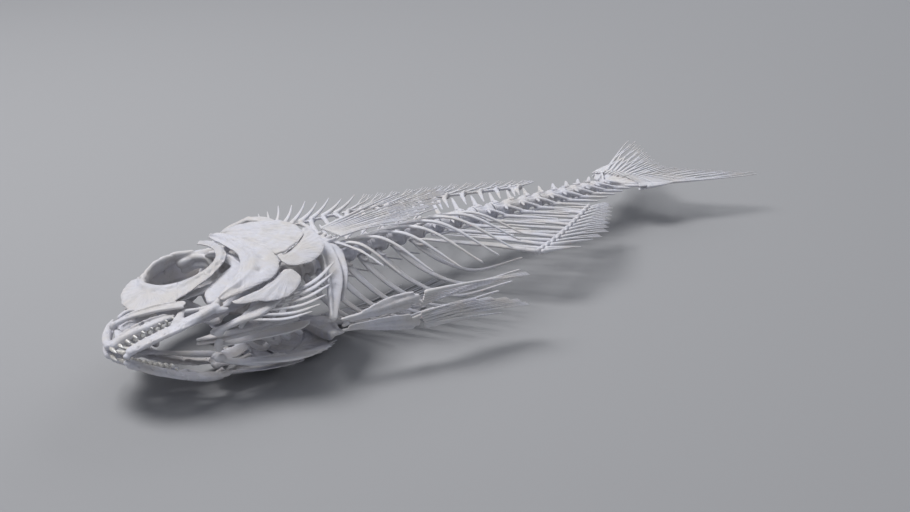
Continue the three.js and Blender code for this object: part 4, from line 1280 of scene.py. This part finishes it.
# ---------------------------------------------------------------- vertebral column and ribs
def hourglass():
    """A vertebra's body of unit length and radius along X, hollow at both ends."""
    half = [(-0.24, 0.05), (-0.39, 0.6), (-0.45, 0.86), (-0.472, 0.95), (-0.455, 1.02), (-0.4, 1.01),
            (-0.345, 0.87), (-0.26, 0.7), (-0.13, 0.59), (0.0, 0.56)]
    profile = np.array(half + [(-x, r) for x, r in half[-2::-1]])
    a = around(36)
    waist = smoothstep(1 - np.abs(profile[:, 0]) / 0.4)
    struts = np.maximum(np.cos(3 * a), 0) ** 3 * 0.4 + np.maximum(np.cos(8 * a + 0.6), 0) ** 2 * 0.08
    radius = profile[:, 1:] * (1 + waist[:, None] * struts)
    x = profile[:, :1] + 0 * radius
    return loft(np.stack([x, radius * np.cos(a + 1.3), radius * np.sin(a + 1.3)], axis=-1))


def bodies(first, last):
    """The hourglass bodies of vertebrae first to last - 1."""
    i = np.arange(first, last)
    x0, y0, r0, _ = column_at(i)
    x1, y1, r1, _ = column_at(i + 1)
    places = np.stack([(x0 + x1) / 2, (y0 + y1) / 2, 0 * x0], axis=-1)
    turns = np.stack([0 * x0, 0 * x0, np.arctan2(y1 - y0, x1 - x0)], axis=-1)
    length = np.hypot(x1 - x0, y1 - y0)
    radius = (r0 + r1) / 2
    sizes = np.stack([length, radius, radius], axis=-1)
    return repeated(hourglass(), places, turns, sizes, finish_for("skull"))


def spine_strands(i, way):
    """The arch of vertebra i on both sides of the midplane and the spine that it runs into."""
    heights = NEURAL_HEIGHT if way > 0 else HAEMAL_HEIGHT
    u = i + SPINE_START
    tip = float(through(heights, i / VERTEBRAE))
    _, _, radius = on_column(u)
    bend = 1.1 * (noise(np.array([[i * 3.1, way * 5.0, 0.5]]), 1.0, 12)[0])

    def at(height, z, ahead=0.0):
        x, y = slant_at(u, height, way)
        return [float(x) + ahead, float(y), z]

    crown = min(radius + 4.8, tip * 0.62)
    strands = []
    for side in (1, -1):
        points = [
            at(radius * 0.55, 2.3 * side),
            at(radius + 0.9, 2.1 * side),
            at(0.6 * radius + 0.4 * crown + 1.6, 1.2 * side),
            at(crown + 1.2, 0.0),
        ]
        strands.append(strand(points, [1.5, 1.05, 0.9, 0.9], [0.75, 0.6, 0.65, 0.8], 14))
        front = [
            at(radius * 0.85, 2.2 * side, -0.6),
            at(radius + 1.2, 1.9 * side, -3.0),
            at(radius + 2.2, 1.7 * side, -4.1),
        ]
        strands.append(strand(front, [0.95, 0.62, 0.35], 0.7, 10))
        x, y, r = on_column(i + 0.86)
        back = [[x - 1.4, y + way * r * 0.8, 2.0 * side], [x + 0.5, y + way * (r + 1.4), 1.9 * side]]
        strands.append(strand(back, [0.8, 0.4], 0.75, 8))
    points = [at(crown - 0.6, 0), at((crown + tip) / 2, 0, bend * 0.4), at(tip, 0.0, 0)]
    strands.append(strand(points, [1.35, 1.1, 0.95, 0.75, 0.45], [0.7, 0.75, 0.8, 0.9], 24))
    return strands


def trunk_strands():
    """The side processes that carry the hind ribs, under trunk vertebrae."""
    strands = []
    for i in range(FIRST_PROCESS, TRUNK_VERTEBRAE):
        x, y, r = on_column(i + 0.5)
        drop = 0.9 + 0.75 * (i - FIRST_PROCESS)
        for side in (1, -1):
            points = [[x - 0.6, y - 0.5 * r, 2.4 * side], [x + 0.2, y - r - 0.3 * drop, 3.9 * side],
                      [x + 1.1, y - r - drop, 3.5 * side]]
            strands.append(strand(points, [1.5, 1.1, 0.7], 0.75, 10))
    return strands


RIB_DROP = [0, 0.14, 0.32, 0.6, 1]
RIB_SPREAD = [0.14, 0.47, 0.8, 1, 0.42]
RIB_DEPTH = [46, 54, 60, 62, 61, 58, 52, 44]
RIB_HALF_WIDTH = [16.6, 17.8, 18.3, 18.4, 18.2, 17.2, 15.4, 13]
RIB_SWEEP = [12, 15, 18, 20, 22, 24, 25, 24]


def rib_strands():
    """The left ribs, and the small ones over them that point out into the flesh."""
    strands = []
    for i in range(FIRST_RIB, TRUNK_VERTEBRAE):
        k = i - FIRST_RIB
        x, y, _ = on_column(i + 0.5)
        points = [
            [x + RIB_SWEEP[k] * drop**1.3, y - 1.2 - RIB_DEPTH[k] * drop, RIB_HALF_WIDTH[k] * spread]
            for drop, spread in zip(RIB_DROP, RIB_SPREAD)
        ]
        thick, flat = [1.5, 1.95, 1.6, 1.35, 1.1, 0.85, 0.45], [0.8, 0.6, 0.55, 0.6, 0.65, 0.8]
        strands.append(strand(points, thick, flat, 56))
    for i in range(TRUNK_VERTEBRAE):
        x, y, r = on_column(i + 0.45)
        y -= 0.6 if i >= FIRST_RIB else -1.0
        out = 12.5 - 0.35 * i
        points = [[x, y, r * 0.72], [x + 5.5, y - 0.2, 0.56 * out + 1.6], [x + 14, y - 1.6 - 0.25 * i, out]]
        strands.append(strand(points, [0.6, 0.5, 0.42, 0.25], 0.85, 22))
    return strands


class SKELETON_OT_column(bpy.types.Operator):
    """Model the vertebrae with their spines, and the ribs"""

    bl_idname = "skeleton.column"
    bl_label = "Column and ribs"

    def execute(self, context):
        skull, rib = finish_for("skull"), finish_for("rib")
        lengths = {
            "trunk_vertebrae": (0, TRUNK_VERTEBRAE, [1], trunk_strands(), ["trunk_left", "trunk_right"]),
            "tail_vertebrae_front": (TRUNK_VERTEBRAE, FRONT_VERTEBRAE, [1, -1], [], ["tail_column_front"]),
            "tail_vertebrae_back": (FRONT_VERTEBRAE, VERTEBRAE, [1, -1], [], ["tail_column_back"]),
        }
        for name, (first, last, ways, more, nodes) in lengths.items():
            strands = more + [s for i in range(first, last) for way in ways for s in spine_strands(i, way)]
            shape = fused([bodies(first, last), swept(strands, 10, skull)[0]], 0.7, 1)
            stand(name, shape, skull, "bone", nodes, roughness_of(0.11, 0.05))
        ribs, _ = swept(rib_strands(), 12, rib)
        stand_pair("ribs", ribs, rib, "bone", relief=roughness_of(0.06, 0.03))
        return {"FINISHED"}


# ---------------------------------------------------------------- fins
def branched(base, tip, thick, bow, spread, stages, start, foot=1.5, flat=0.8):
    """A soft ray: one stem that splits in two, and each branch again. bow bends it backwards."""
    base, tip = np.asarray(base, float), np.asarray(tip, float)
    long = tip - base
    size = float(np.linalg.norm(long))
    square = np.array([-long[1], long[0], 0.0]) / size

    def run(t0, t1, side0, side1, radius, rings=14):
        t = np.linspace(t0, t1, 6)
        side = side0 + (side1 - side0) * smoothstep((t - t0) / (t1 - t0)) + bow * size * np.sin(np.pi * t)
        points = base + long * t[:, None] + square * side[:, None]
        return strand(points, radius, flat, rings, start + t0 * size)

    if not stages:
        return [run(0, 1, 0, 0, [thick * foot, thick, thick * 0.8, thick * 0.6, 0.25], 26)]
    fork, again = (0.36, 0.66) if stages > 1 else (0.45, 1.0)
    strands = [run(0, fork + 0.03, 0, 0, [thick * foot, thick * 1.08, thick, thick * 0.9])]
    for way in (-1, 1):
        near, far = way * 0.36 * thick, way * (0.36 * thick + 0.5 * spread * size)
        slim = [thick * 0.66, thick * 0.6, thick * 0.54] if stages > 1 else [thick * 0.66, thick * 0.5, 0.24]
        strands.append(run(fork - 0.03, again + 0.02 * (stages > 1), near, far, slim))
        for part in (-1, 1) if stages > 1 else ():
            split = far + part * 0.2 * thick
            end = split + part * 0.3 * spread * size
            strands.append(run(again - 0.03, 1, split, end, [thick * 0.4, thick * 0.34, 0.2]))
    return strands


def spiny(base, tip, thick, bow):
    """A fin's spine: stout foot, straight taper, sharp end."""
    base, tip = np.asarray(base, float), np.asarray(tip, float)
    long = tip - base
    square = np.array([-long[1], long[0], 0.0])
    t = np.array([0, 0.12, 0.35, 0.65, 1.0])
    points = base + long * t[:, None] + square * (bow * np.sin(np.pi * t))[:, None]
    return [strand(points, [thick * 1.35, thick * 1.25, thick, thick * 0.78, thick * 0.55, 0.2], 0.9, 30)]


DORSAL = dict(
    base=[[108, 55.5], [130, 57], [165, 53], [205, 42], [246, 27]], count=24, spines=11, way=1,
    heights=NEURAL_HEIGHT, depth=[15, 18, 17, 14, 11, 8],
    length=[17, 31, 34, 31, 28, 25, 26, 24, 20, 13], lean=[48, 44, 40, 38, 36, 34, 32],
)
ANAL = dict(
    base=[[186, -40], [206, -33.5], [227, -24.5], [247, -15.5]], count=13, spines=3, way=-1,
    heights=HAEMAL_HEIGHT, depth=[30, 21, 17, 14, 11, 8],
    length=[14, 21, 24, 22, 20, 17, 12], lean=[48, 42, 38, 34, 32],
)


def between_spines(point, way):
    """The u of the slanting line through a point beyond the column's spines, kept between them."""
    u = np.arange(0, VERTEBRAE, 0.02)
    _, y, _, _ = column_at(u)
    x, _ = slant_at(u, way * (point[1] - y), way)
    best = float(u[np.argmin(np.abs(x - point[0]))])
    first = math.floor(best - SPINE_START) + SPINE_START
    return first + 0.5 + 0.46 * (best - first - 0.5)


def median_fin(base, count, way, spines, heights, depth, length, lean, first, last):
    """Supports, row of heads and rays of a fin on the midline, as shapes and strands."""
    supports, row, rays = [], [], []
    for k in range(first, last):
        t = k / (count - 1)
        p = spline(base, t, even=True)
        ahead = spline(base, min(t + 0.01, 1), even=True) - spline(base, max(t - 0.01, 0), even=True)
        u = between_spines(p, way)
        top, deep = float(through(heights, u / VERTEBRAE)) + 1.5, float(through(depth, t))
        low, mid, high = (
            [float(c) for c in slant_at(u, h, way)] + [0.0] for h in (top - deep, top - 0.4 * deep, top)
        )
        head = [float(p[0]), float(p[1]), 0.0]
        stout = 1.5 if way < 0 and k == 0 else 1.0
        wide = [0.35 * stout, 0.8 * stout, 1.1 * stout, 1.1, 1.2]
        supports.append(strand([low, mid, high, head], wide, [0.8, 0.45, 0.5, 0.7, 0.9], 26))
        keel = [[a + 0.1, b, 0.0] for a, b, _ in (mid, high)]
        supports.append(strand([low, *keel, head], [0.3, 0.42 * stout, 0.5, 0.7], [1.0, 1.3, 1.6, 1.6], 20))
        angle = math.atan2(ahead[1], ahead[0])
        knob = [head[0] + 0.7 * math.cos(angle), head[1] + 0.7 * math.sin(angle), 0]
        row.append(blob(knob, [1.5, 1.2, 1.75], 12, 8))
        raise_by = angle + way * math.radians(float(through(lean, t)))
        size = float(through(length, t))
        lift = way * 0.9
        foot = [head[0] + 0.3, head[1] + lift, 0.0]
        tip = [head[0] + size * math.cos(raise_by), head[1] + size * math.sin(raise_by), 0.0]
        if k < spines:
            tip[2] = 0.6 * (-1) ** k
            rays += spiny(foot, tip, 0.95 + 0.12 * (k % 2), -way * 0.035)
        else:
            rays += branched(foot, tip, 0.7, -way * 0.05, 0.08, 2, JOINT_SHIFT * k, foot=1.6)
    return supports, row, rays


def heads_row(base, count, first, last):
    """The bar that the heads of a fin's supports make together."""
    t = np.linspace(max(first - 0.5, 0), min(last - 0.65, count - 1), 9) / (count - 1)
    line = spline(base, t, even=True)
    return tube(np.c_[line, 0 * t], [0.72, 0.72], [0.72, 0.72], 12, 60)


TAIL_FIN = dict(principal=8, short=3, pitch=1.6, half_spread=39)


def fan_edge(offset):
    """x of the hind edge of the tail's fan of bones at an offset from its middle."""
    return FAN_EDGE_X - 0.02 * offset**2


def tail_rays(way):
    """One lobe of the tail fin, each ray with the two feet by which it clasps the fan."""
    strands = []
    principal, short_count = TAIL_FIN["principal"], TAIL_FIN["short"]
    for k in range(principal + short_count):
        s = min(k / (principal - 1), 1)
        short = max(0, k - principal + 1)
        offset = TAIL_FIN["pitch"] * (k - short + 0.75)
        base = [fan_edge(offset) + 1.5 - 1.1 * short, offset + 1.15 * short]
        reach = 0.62 - 0.13 * short if short else 1
        far = FORK_X + (TOTAL_LENGTH - FORK_X) * s**1.2
        high = 1 + (TAIL_FIN["half_spread"] - 1) * s
        rise = reach * (0.75 if short else 1)
        tip = [base[0] + (far - base[0]) * reach, base[1] + (high - base[1]) * rise]
        ends = [[x, TAIL_MID_Y + way * y, 0.0] for x, y in (base, tip)]
        if short:
            strands += spiny(*ends, 0.85, way * 0.03)
        else:
            stages, bow = 1 if k == principal - 1 else 2, way * 0.03 * (s - 0.2)
            strands += branched(*ends, 0.8, bow, 0.052, stages, JOINT_SHIFT * k, foot=1.15)
        for side in (1, -1):
            root = [ends[0][0] - 4.2, ends[0][1] - way * 0.125 * (k + 1), 0.95 * side]
            toe = [ends[0][0] + 3.5, ends[0][1] + (ends[1][1] - ends[0][1]) * 0.08, 0.4 * side]
            strands.append(strand([root, toe], [0.5, 0.75, 0.6], 0.7, 10))
    return strands


def tail_fan_shapes():
    """The fan of flat bones that carries the tail fin, on the last half vertebra."""
    x, y, radius = on_column(VERTEBRAE)
    shapes = [
        # the half vertebra, its joint face and the bone under it
        tube([[x + 0.3, y + 0.1, 0], [x + 3.4, y + 0.1, 0], [x + 7.5, y + 2.2, 0]],
             [radius - 0.2, 1.9, 1.0], [radius - 0.2, 1.7, 0.9], 16),
        tube([[x + 0.4, y, 0], [x + 1.0, y, 0]], [radius, radius], [radius, radius], 20),
        tube([[x - 0.5, y - 2.2, 0], [x + 6, y - 8, 0], [x + 14.5, TAIL_MID_Y - 14.4, 0]],
             [1.2, 1.0, 1.2], [1.1, 0.7, 0.6], 12, 24),
    ]
    for k in range(HYPURALS):
        offset = -FAN_HALF_HEIGHT + 2 * FAN_HALF_HEIGHT * (k + 0.5) / HYPURALS
        root, end = [x + 2.6, y, 0], [fan_edge(offset), TAIL_MID_Y + offset, 0]
        middle = [(root[0] + end[0]) / 2, (root[1] + end[1]) / 2 + 0.05 * offset, 0]
        shapes.append(tube([root, middle, end], [0.9, 1.25, 1.95], [1.4, 0.8, 0.62], 14, 30))
    # the small bones ahead of the fan, and the splints on its sides
    for way, lift in ((1, 5.5), (1, 8.5), (-1, 5.0)):
        root = [x - 1.5 + lift * 0.6, y + way * lift, 0]
        end = [x + 13 + 0.2 * lift, TAIL_MID_Y + way * (lift + 8.6), 0]
        shapes.append(tube([root, end], [0.55, 1.0], [0.7, 0.6], 10, 20))
    for side in (1, -1):
        line = [[x + 1.5, y + 2, 1.6 * side], [x + 9, y + 8.4, 0.9 * side], [x + 14, y + 13, 0.6 * side]]
        shapes.append(tube(line, [0.8, 0.6, 0.4], [0.5, 0.4, 0.4], 10, 20))
    return shapes


def supraneural_strands():
    """The small bones between the skull and the first support of the fin on the back."""
    strands = []
    for k in range(SUPRANEURALS):
        x, y = 97.5 + 5.5 * k, 54.6 + 0.6 * k
        line = [[x + 2.2, y + 0.7, 0], [x + 0.4, y - 0.8, 0], [x - 0.9, y - 9, 0], [x - 2.5, y - 20, 0]]
        strands.append(strand(line, [0.7, 1.25, 0.85, 0.7, 0.3], [0.9, 0.7, 0.6, 0.8], 26))
    return strands


def pectoral_rays():
    """The left pectoral fin, half folded back and slightly wavy."""
    strands = []
    for k in range(PECTORAL_RAYS):
        s = k / (PECTORAL_RAYS - 1)
        base = [105.4, 4.8 - 11.6 * s, 18.6]
        reach = float(through([50, 66, 62, 52, 42, 33, 25], s)) * (1 + 0.025 * math.sin(2.4 * k))
        angle = math.radians(6 - 32 * s + 0.5 * math.sin(3.1 * k))
        tip = [base[0] + reach * math.cos(angle), base[1] + reach * math.sin(angle) + 1, 21.0]
        thick, stages = 0.46 if k else 0.7, 2 if k > 1 else 0
        made = branched(base, tip, thick, -0.03, 0.016, stages, JOINT_SHIFT * k, flat=0.85)
        for line, radius, flat, arc in made:
            share = (line[:, 0] - base[0]) / (tip[0] - base[0])
            wave = 0.3 * math.sin(1.9 * k) * share
            line[:, 2] += 1.4 * np.sin(np.pi * np.clip(share, 0, 1)) + wave
            strands.append((line, radius, flat, arc))
    return strands


def pelvic_rays():
    """The left pelvic fin: a spine and its soft rays."""
    strands = []
    for k in range(PELVIC_RAYS):
        s = k / (PELVIC_RAYS - 1)
        base = [108.4 - 0.2 * k, -51.6 + 0.2 * k, 6.8 - 1.05 * k]
        reach = float(through([34, 46, 44, 40, 34, 27], s))
        angle = math.radians(-20 + 13 * s)
        tip = [base[0] + reach * math.cos(angle), base[1] + reach * math.sin(angle), 7.4 - 5 * s]
        if k:
            strands += branched(base, tip, 0.52, 0.035, 0.03, 2, JOINT_SHIFT * k)
        else:
            strands += spiny(base, tip, 0.95, 0.03)
    return strands


class SKELETON_OT_fins(bpy.types.Operator):
    """Model the fins on the back, belly and tail with the bones that carry them, and the paired fins"""

    bl_idname = "skeleton.fins"
    bl_label = "Fins"

    def execute(self, context):
        skull, fin, relief = finish_for("skull"), finish_for("fin"), roughness_of(0.07, 0.04)
        runs = {
            "spiny_dorsal": (DORSAL, 0, DORSAL["spines"], supraneural_strands(), "dorsal_fin_spiny"),
            "soft_dorsal": (DORSAL, DORSAL["spines"], DORSAL["count"], [], "dorsal_fin_soft"),
            "anal": (ANAL, 0, ANAL["count"], [], "anal_fin"),
        }
        for name, (facts, first, last, more, node) in runs.items():
            supports, row, rays = median_fin(**facts, first=first, last=last)
            bar = heads_row(facts["base"], facts["count"], first, last)
            shape = fused([swept(supports + more, 10, skull)[0], bar, *row], 0.78, 2)
            stand(f"{name}_supports", shape, skull, "bone", [node], relief)
            shape, along = swept(rays, 8, fin)
            stand(f"{name}_rays", shape, fin, "fin_bone", marks={"along": along})
        shape = fused(tail_fan_shapes(), 0.78, 2)
        stand("tail_fan", shape, skull, "bone", ["tail_plates"], relief)
        for name, way, node in (("upper", 1, "tail_fin_upper"), ("lower", -1, "tail_fin_lower")):
            shape, along = swept(tail_rays(way), 8, fin)
            stand(f"tail_rays_{name}", shape, fin, "fin_bone", [node], marks={"along": along})
        for part, strands in (("pectoral", pectoral_rays()), ("pelvic", pelvic_rays())):
            shape, along = swept(strands, 8, fin)
            stand_pair(f"{part}_rays", shape, fin, "fin_bone", f"{part}_fin", marks={"along": along})
        return {"FINISHED"}


# ---------------------------------------------------------------- stage
FLOOR_REACH = 6.0
FLOOR_DROP = 0.0001  # under the bones, so that their flats don't share its plane
FLOOR_FADE = (0.55, 1.9)  # where the paper starts and ends to run into the surroundings
SENSOR_WIDTH = 36.0
LAMPS = [  # name, place, size, watts, colour
    ("key", (-0.3, 0.5, 1.15), 0.6, 14.0, (1.0, 0.985, 0.975)),
    ("fill", (-1.1, -1.2, 0.8), 1.4, 2.0, (0.93, 0.955, 1.0)),
    ("rim", (1.3, 0.5, 0.7), 0.8, 5.0, (0.97, 0.98, 1.0)),
]


def lay_floor(stage):
    """Paper that runs out into the light of the surroundings."""
    mesh = bpy.data.meshes.new("floor")
    far, low = FLOOR_REACH, -FLOOR_DROP
    square = [(-far, -far, low), (far, -far, low), (far, far, low), (-far, far, low)]
    mesh.from_pydata(square, [], [(0, 1, 2, 3)])
    material, n = empty_material("floor_paper")
    sockets = {"Base Color": (*stage.floor, 1), "Roughness": 0.9, "Specular IOR Level": 0.15}
    shader = n.node("ShaderNodeBsdfPrincipled", None, sockets)
    away = n.node("ShaderNodeTexCoord").of("Object")
    away = n.node("ShaderNodeVectorMath", {"operation": "LENGTH"}, {0: away}).of("Value")
    sky = (*(c * stage.sky_power for c in stage.sky), 1)
    glow = n.node("ShaderNodeEmission", None, {"Color": sky})
    both = n.node("ShaderNodeMixShader", None, {0: away.between(*FLOOR_FADE), 1: shader, 2: glow})
    n.node("ShaderNodeOutputMaterial", None, {"Surface": both})
    mesh.materials.append(material)
    floor = placed("floor", mesh)


def hang_lamp(name, place, size, power, colour):
    """A square lamp that faces the middle of the floor."""
    light = bpy.data.lights.new(name, "AREA")
    light.energy = power
    light.size = size
    light.color = colour
    lamp = placed(name, light)
    lamp.location = place
    lamp.rotation_euler = (-lamp.location).to_track_quat("-Z", "Y").to_euler()


def light_world(stage):
    """Even light from all round."""
    world = bpy.data.worlds.new("studio")
    world.use_nodes = True
    inputs = world.node_tree.nodes["Background"].inputs
    inputs["Color"].default_value = (*stage.sky, 1)
    inputs["Strength"].default_value = stage.sky_power
    bpy.context.scene.world = world


def set_camera(stage):
    """The camera stands at a distance from its target, on an azimuth and elevation."""
    data = bpy.data.cameras.new("camera")
    data.lens = stage.lens
    data.sensor_width = SENSOR_WIDTH
    turn, rise = stage.azimuth, stage.elevation
    back = Vector((math.cos(turn) * math.cos(rise), math.sin(turn) * math.cos(rise), math.sin(rise)))
    camera = placed("camera", data)
    camera.location = Vector(stage.target) + back * stage.distance
    camera.rotation_euler = (-back).to_track_quat("-Z", "Y").to_euler()
    bpy.context.scene.camera = camera


class SKELETON_OT_stage(bpy.types.Operator):
    """Lay the floor, and set the lights and the camera"""

    bl_idname = "skeleton.stage"
    bl_label = "Stage"

    def execute(self, context):
        scene, stage = context.scene, context.scene.skeleton_stage
        lay_floor(stage)
        for name, place, size, power, colour in LAMPS:
            hang_lamp(name, place, size, power * stage.power, colour)
        light_world(stage)
        set_camera(stage)
        scene.view_settings.view_transform = "Standard"
        scene.view_settings.look = "None"
        return {"FINISHED"}


# ---------------------------------------------------------------- settings
def colour_setting(label, note, value):
    return bpy.props.FloatVectorProperty(
        name=label, description=note, subtype="COLOR", size=3, min=0.0, max=1.0, default=value
    )


def number_setting(label, note, value, **more):
    return bpy.props.FloatProperty(name=label, description=note, default=value, **more)


def share_setting(label, note, value):
    return number_setting(label, note, value, min=0.0, max=1.0, subtype="FACTOR")


class SkeletonSizes(bpy.types.PropertyGroup):
    grain: number_setting(
        "Grain", "Finest detail of the modelled bones", 0.46 * MM,
        min=0.2 * MM, max=2 * MM, unit="LENGTH", precision=5,
    )


class SkeletonFinish(bpy.types.PropertyGroup):
    light: colour_setting("Bone", "Clean bleached bone", (0.64, 0.645, 0.71))
    warm: colour_setting("Warm patches", "Bone that kept a little of its oil", (0.61, 0.59, 0.585))
    shade: colour_setting("Shaded patches", "Thin or porous bone", (0.48, 0.48, 0.515))
    # deep is painted shade in the hollows, and also the dark of the pores and of the rays' joints.
    deep: colour_setting("Recesses", "Hollows, seams and pores", (0.27, 0.245, 0.235))
    # The colour that ridges and rims are lightened towards, by how far they stand out.
    ridge_tone: colour_setting("Edges", "Lighter ridges and rims", (0.75, 0.75, 0.78))
    roughness: share_setting("Roughness", "How matt the bone is", 0.52)
    translucency: share_setting("Translucency", "How much light passes through thin bone", 0.14)


class SkeletonStage(bpy.types.PropertyGroup):
    floor: colour_setting("Floor", "Paper under the skeleton", (0.35, 0.355, 0.37))
    sky: colour_setting("Surroundings", "Light from all round", (0.80, 0.83, 0.90))
    sky_power: number_setting("Surroundings power", "Strength of the light from all round", 0.30, min=0.0)
    power: number_setting("Lights", "Strength of all lamps", 1.0, min=0.0)
    lens: number_setting("Lens", "Focal length in millimetres", 59.3, min=1.0)
    distance: number_setting(
        "Distance", "From the camera to what it looks at", 0.607, min=0.01, unit="LENGTH"
    )
    azimuth: number_setting(
        "Azimuth", "Where the camera stands, around the object", math.radians(-135), subtype="ANGLE"
    )
    elevation: number_setting(
        "Elevation", "How far above the floor the camera looks down from", math.radians(21),
        subtype="ANGLE",
    )
    target: bpy.props.FloatVectorProperty(
        name="Target", description="What the camera looks at", default=(-0.0291, -0.0380, 0.0274),
        subtype="XYZ", unit="LENGTH", precision=4,
    )


STEPS = [
    SKELETON_OT_braincase,
    SKELETON_OT_jaws,
    SKELETON_OT_cheeks,
    SKELETON_OT_plates,
    SKELETON_OT_gills,
    SKELETON_OT_girdles,
    SKELETON_OT_column,
    SKELETON_OT_fins,
    SKELETON_OT_stage,
]


class SKELETON_PT_steps(bpy.types.Panel):
    """Lists the steps of the skeleton with its settings"""

    bl_idname = "SKELETON_PT_steps"
    bl_label = "Skeleton"
    bl_space_type = "VIEW_3D"
    bl_region_type = "UI"
    bl_category = "Skeleton"

    def draw(self, context):
        for step in STEPS:
            self.layout.operator(step.bl_idname)
        for group in SETTINGS:
            settings = getattr(context.scene, group)
            for name in settings.__annotations__:
                self.layout.prop(settings, name)


SETTINGS = {
    "skeleton_sizes": SkeletonSizes,
    "skeleton_finish": SkeletonFinish,
    "skeleton_stage": SkeletonStage,
}


def register():
    for made in (*SETTINGS.values(), *STEPS, SKELETON_PT_steps):
        bpy.utils.register_class(made)
    for name, made in SETTINGS.items():
        setattr(bpy.types.Scene, name, bpy.props.PointerProperty(type=made))


def unregister():
    for name in SETTINGS:
        delattr(bpy.types.Scene, name)
    for made in (SKELETON_PT_steps, *reversed(STEPS), *SETTINGS.values()):
        bpy.utils.unregister_class(made)


def main():
    register()
    for step in STEPS:
        area, name = step.bl_idname.split(".")
        getattr(getattr(bpy.ops, area), name)()


if __name__ == "__main__":
    main()
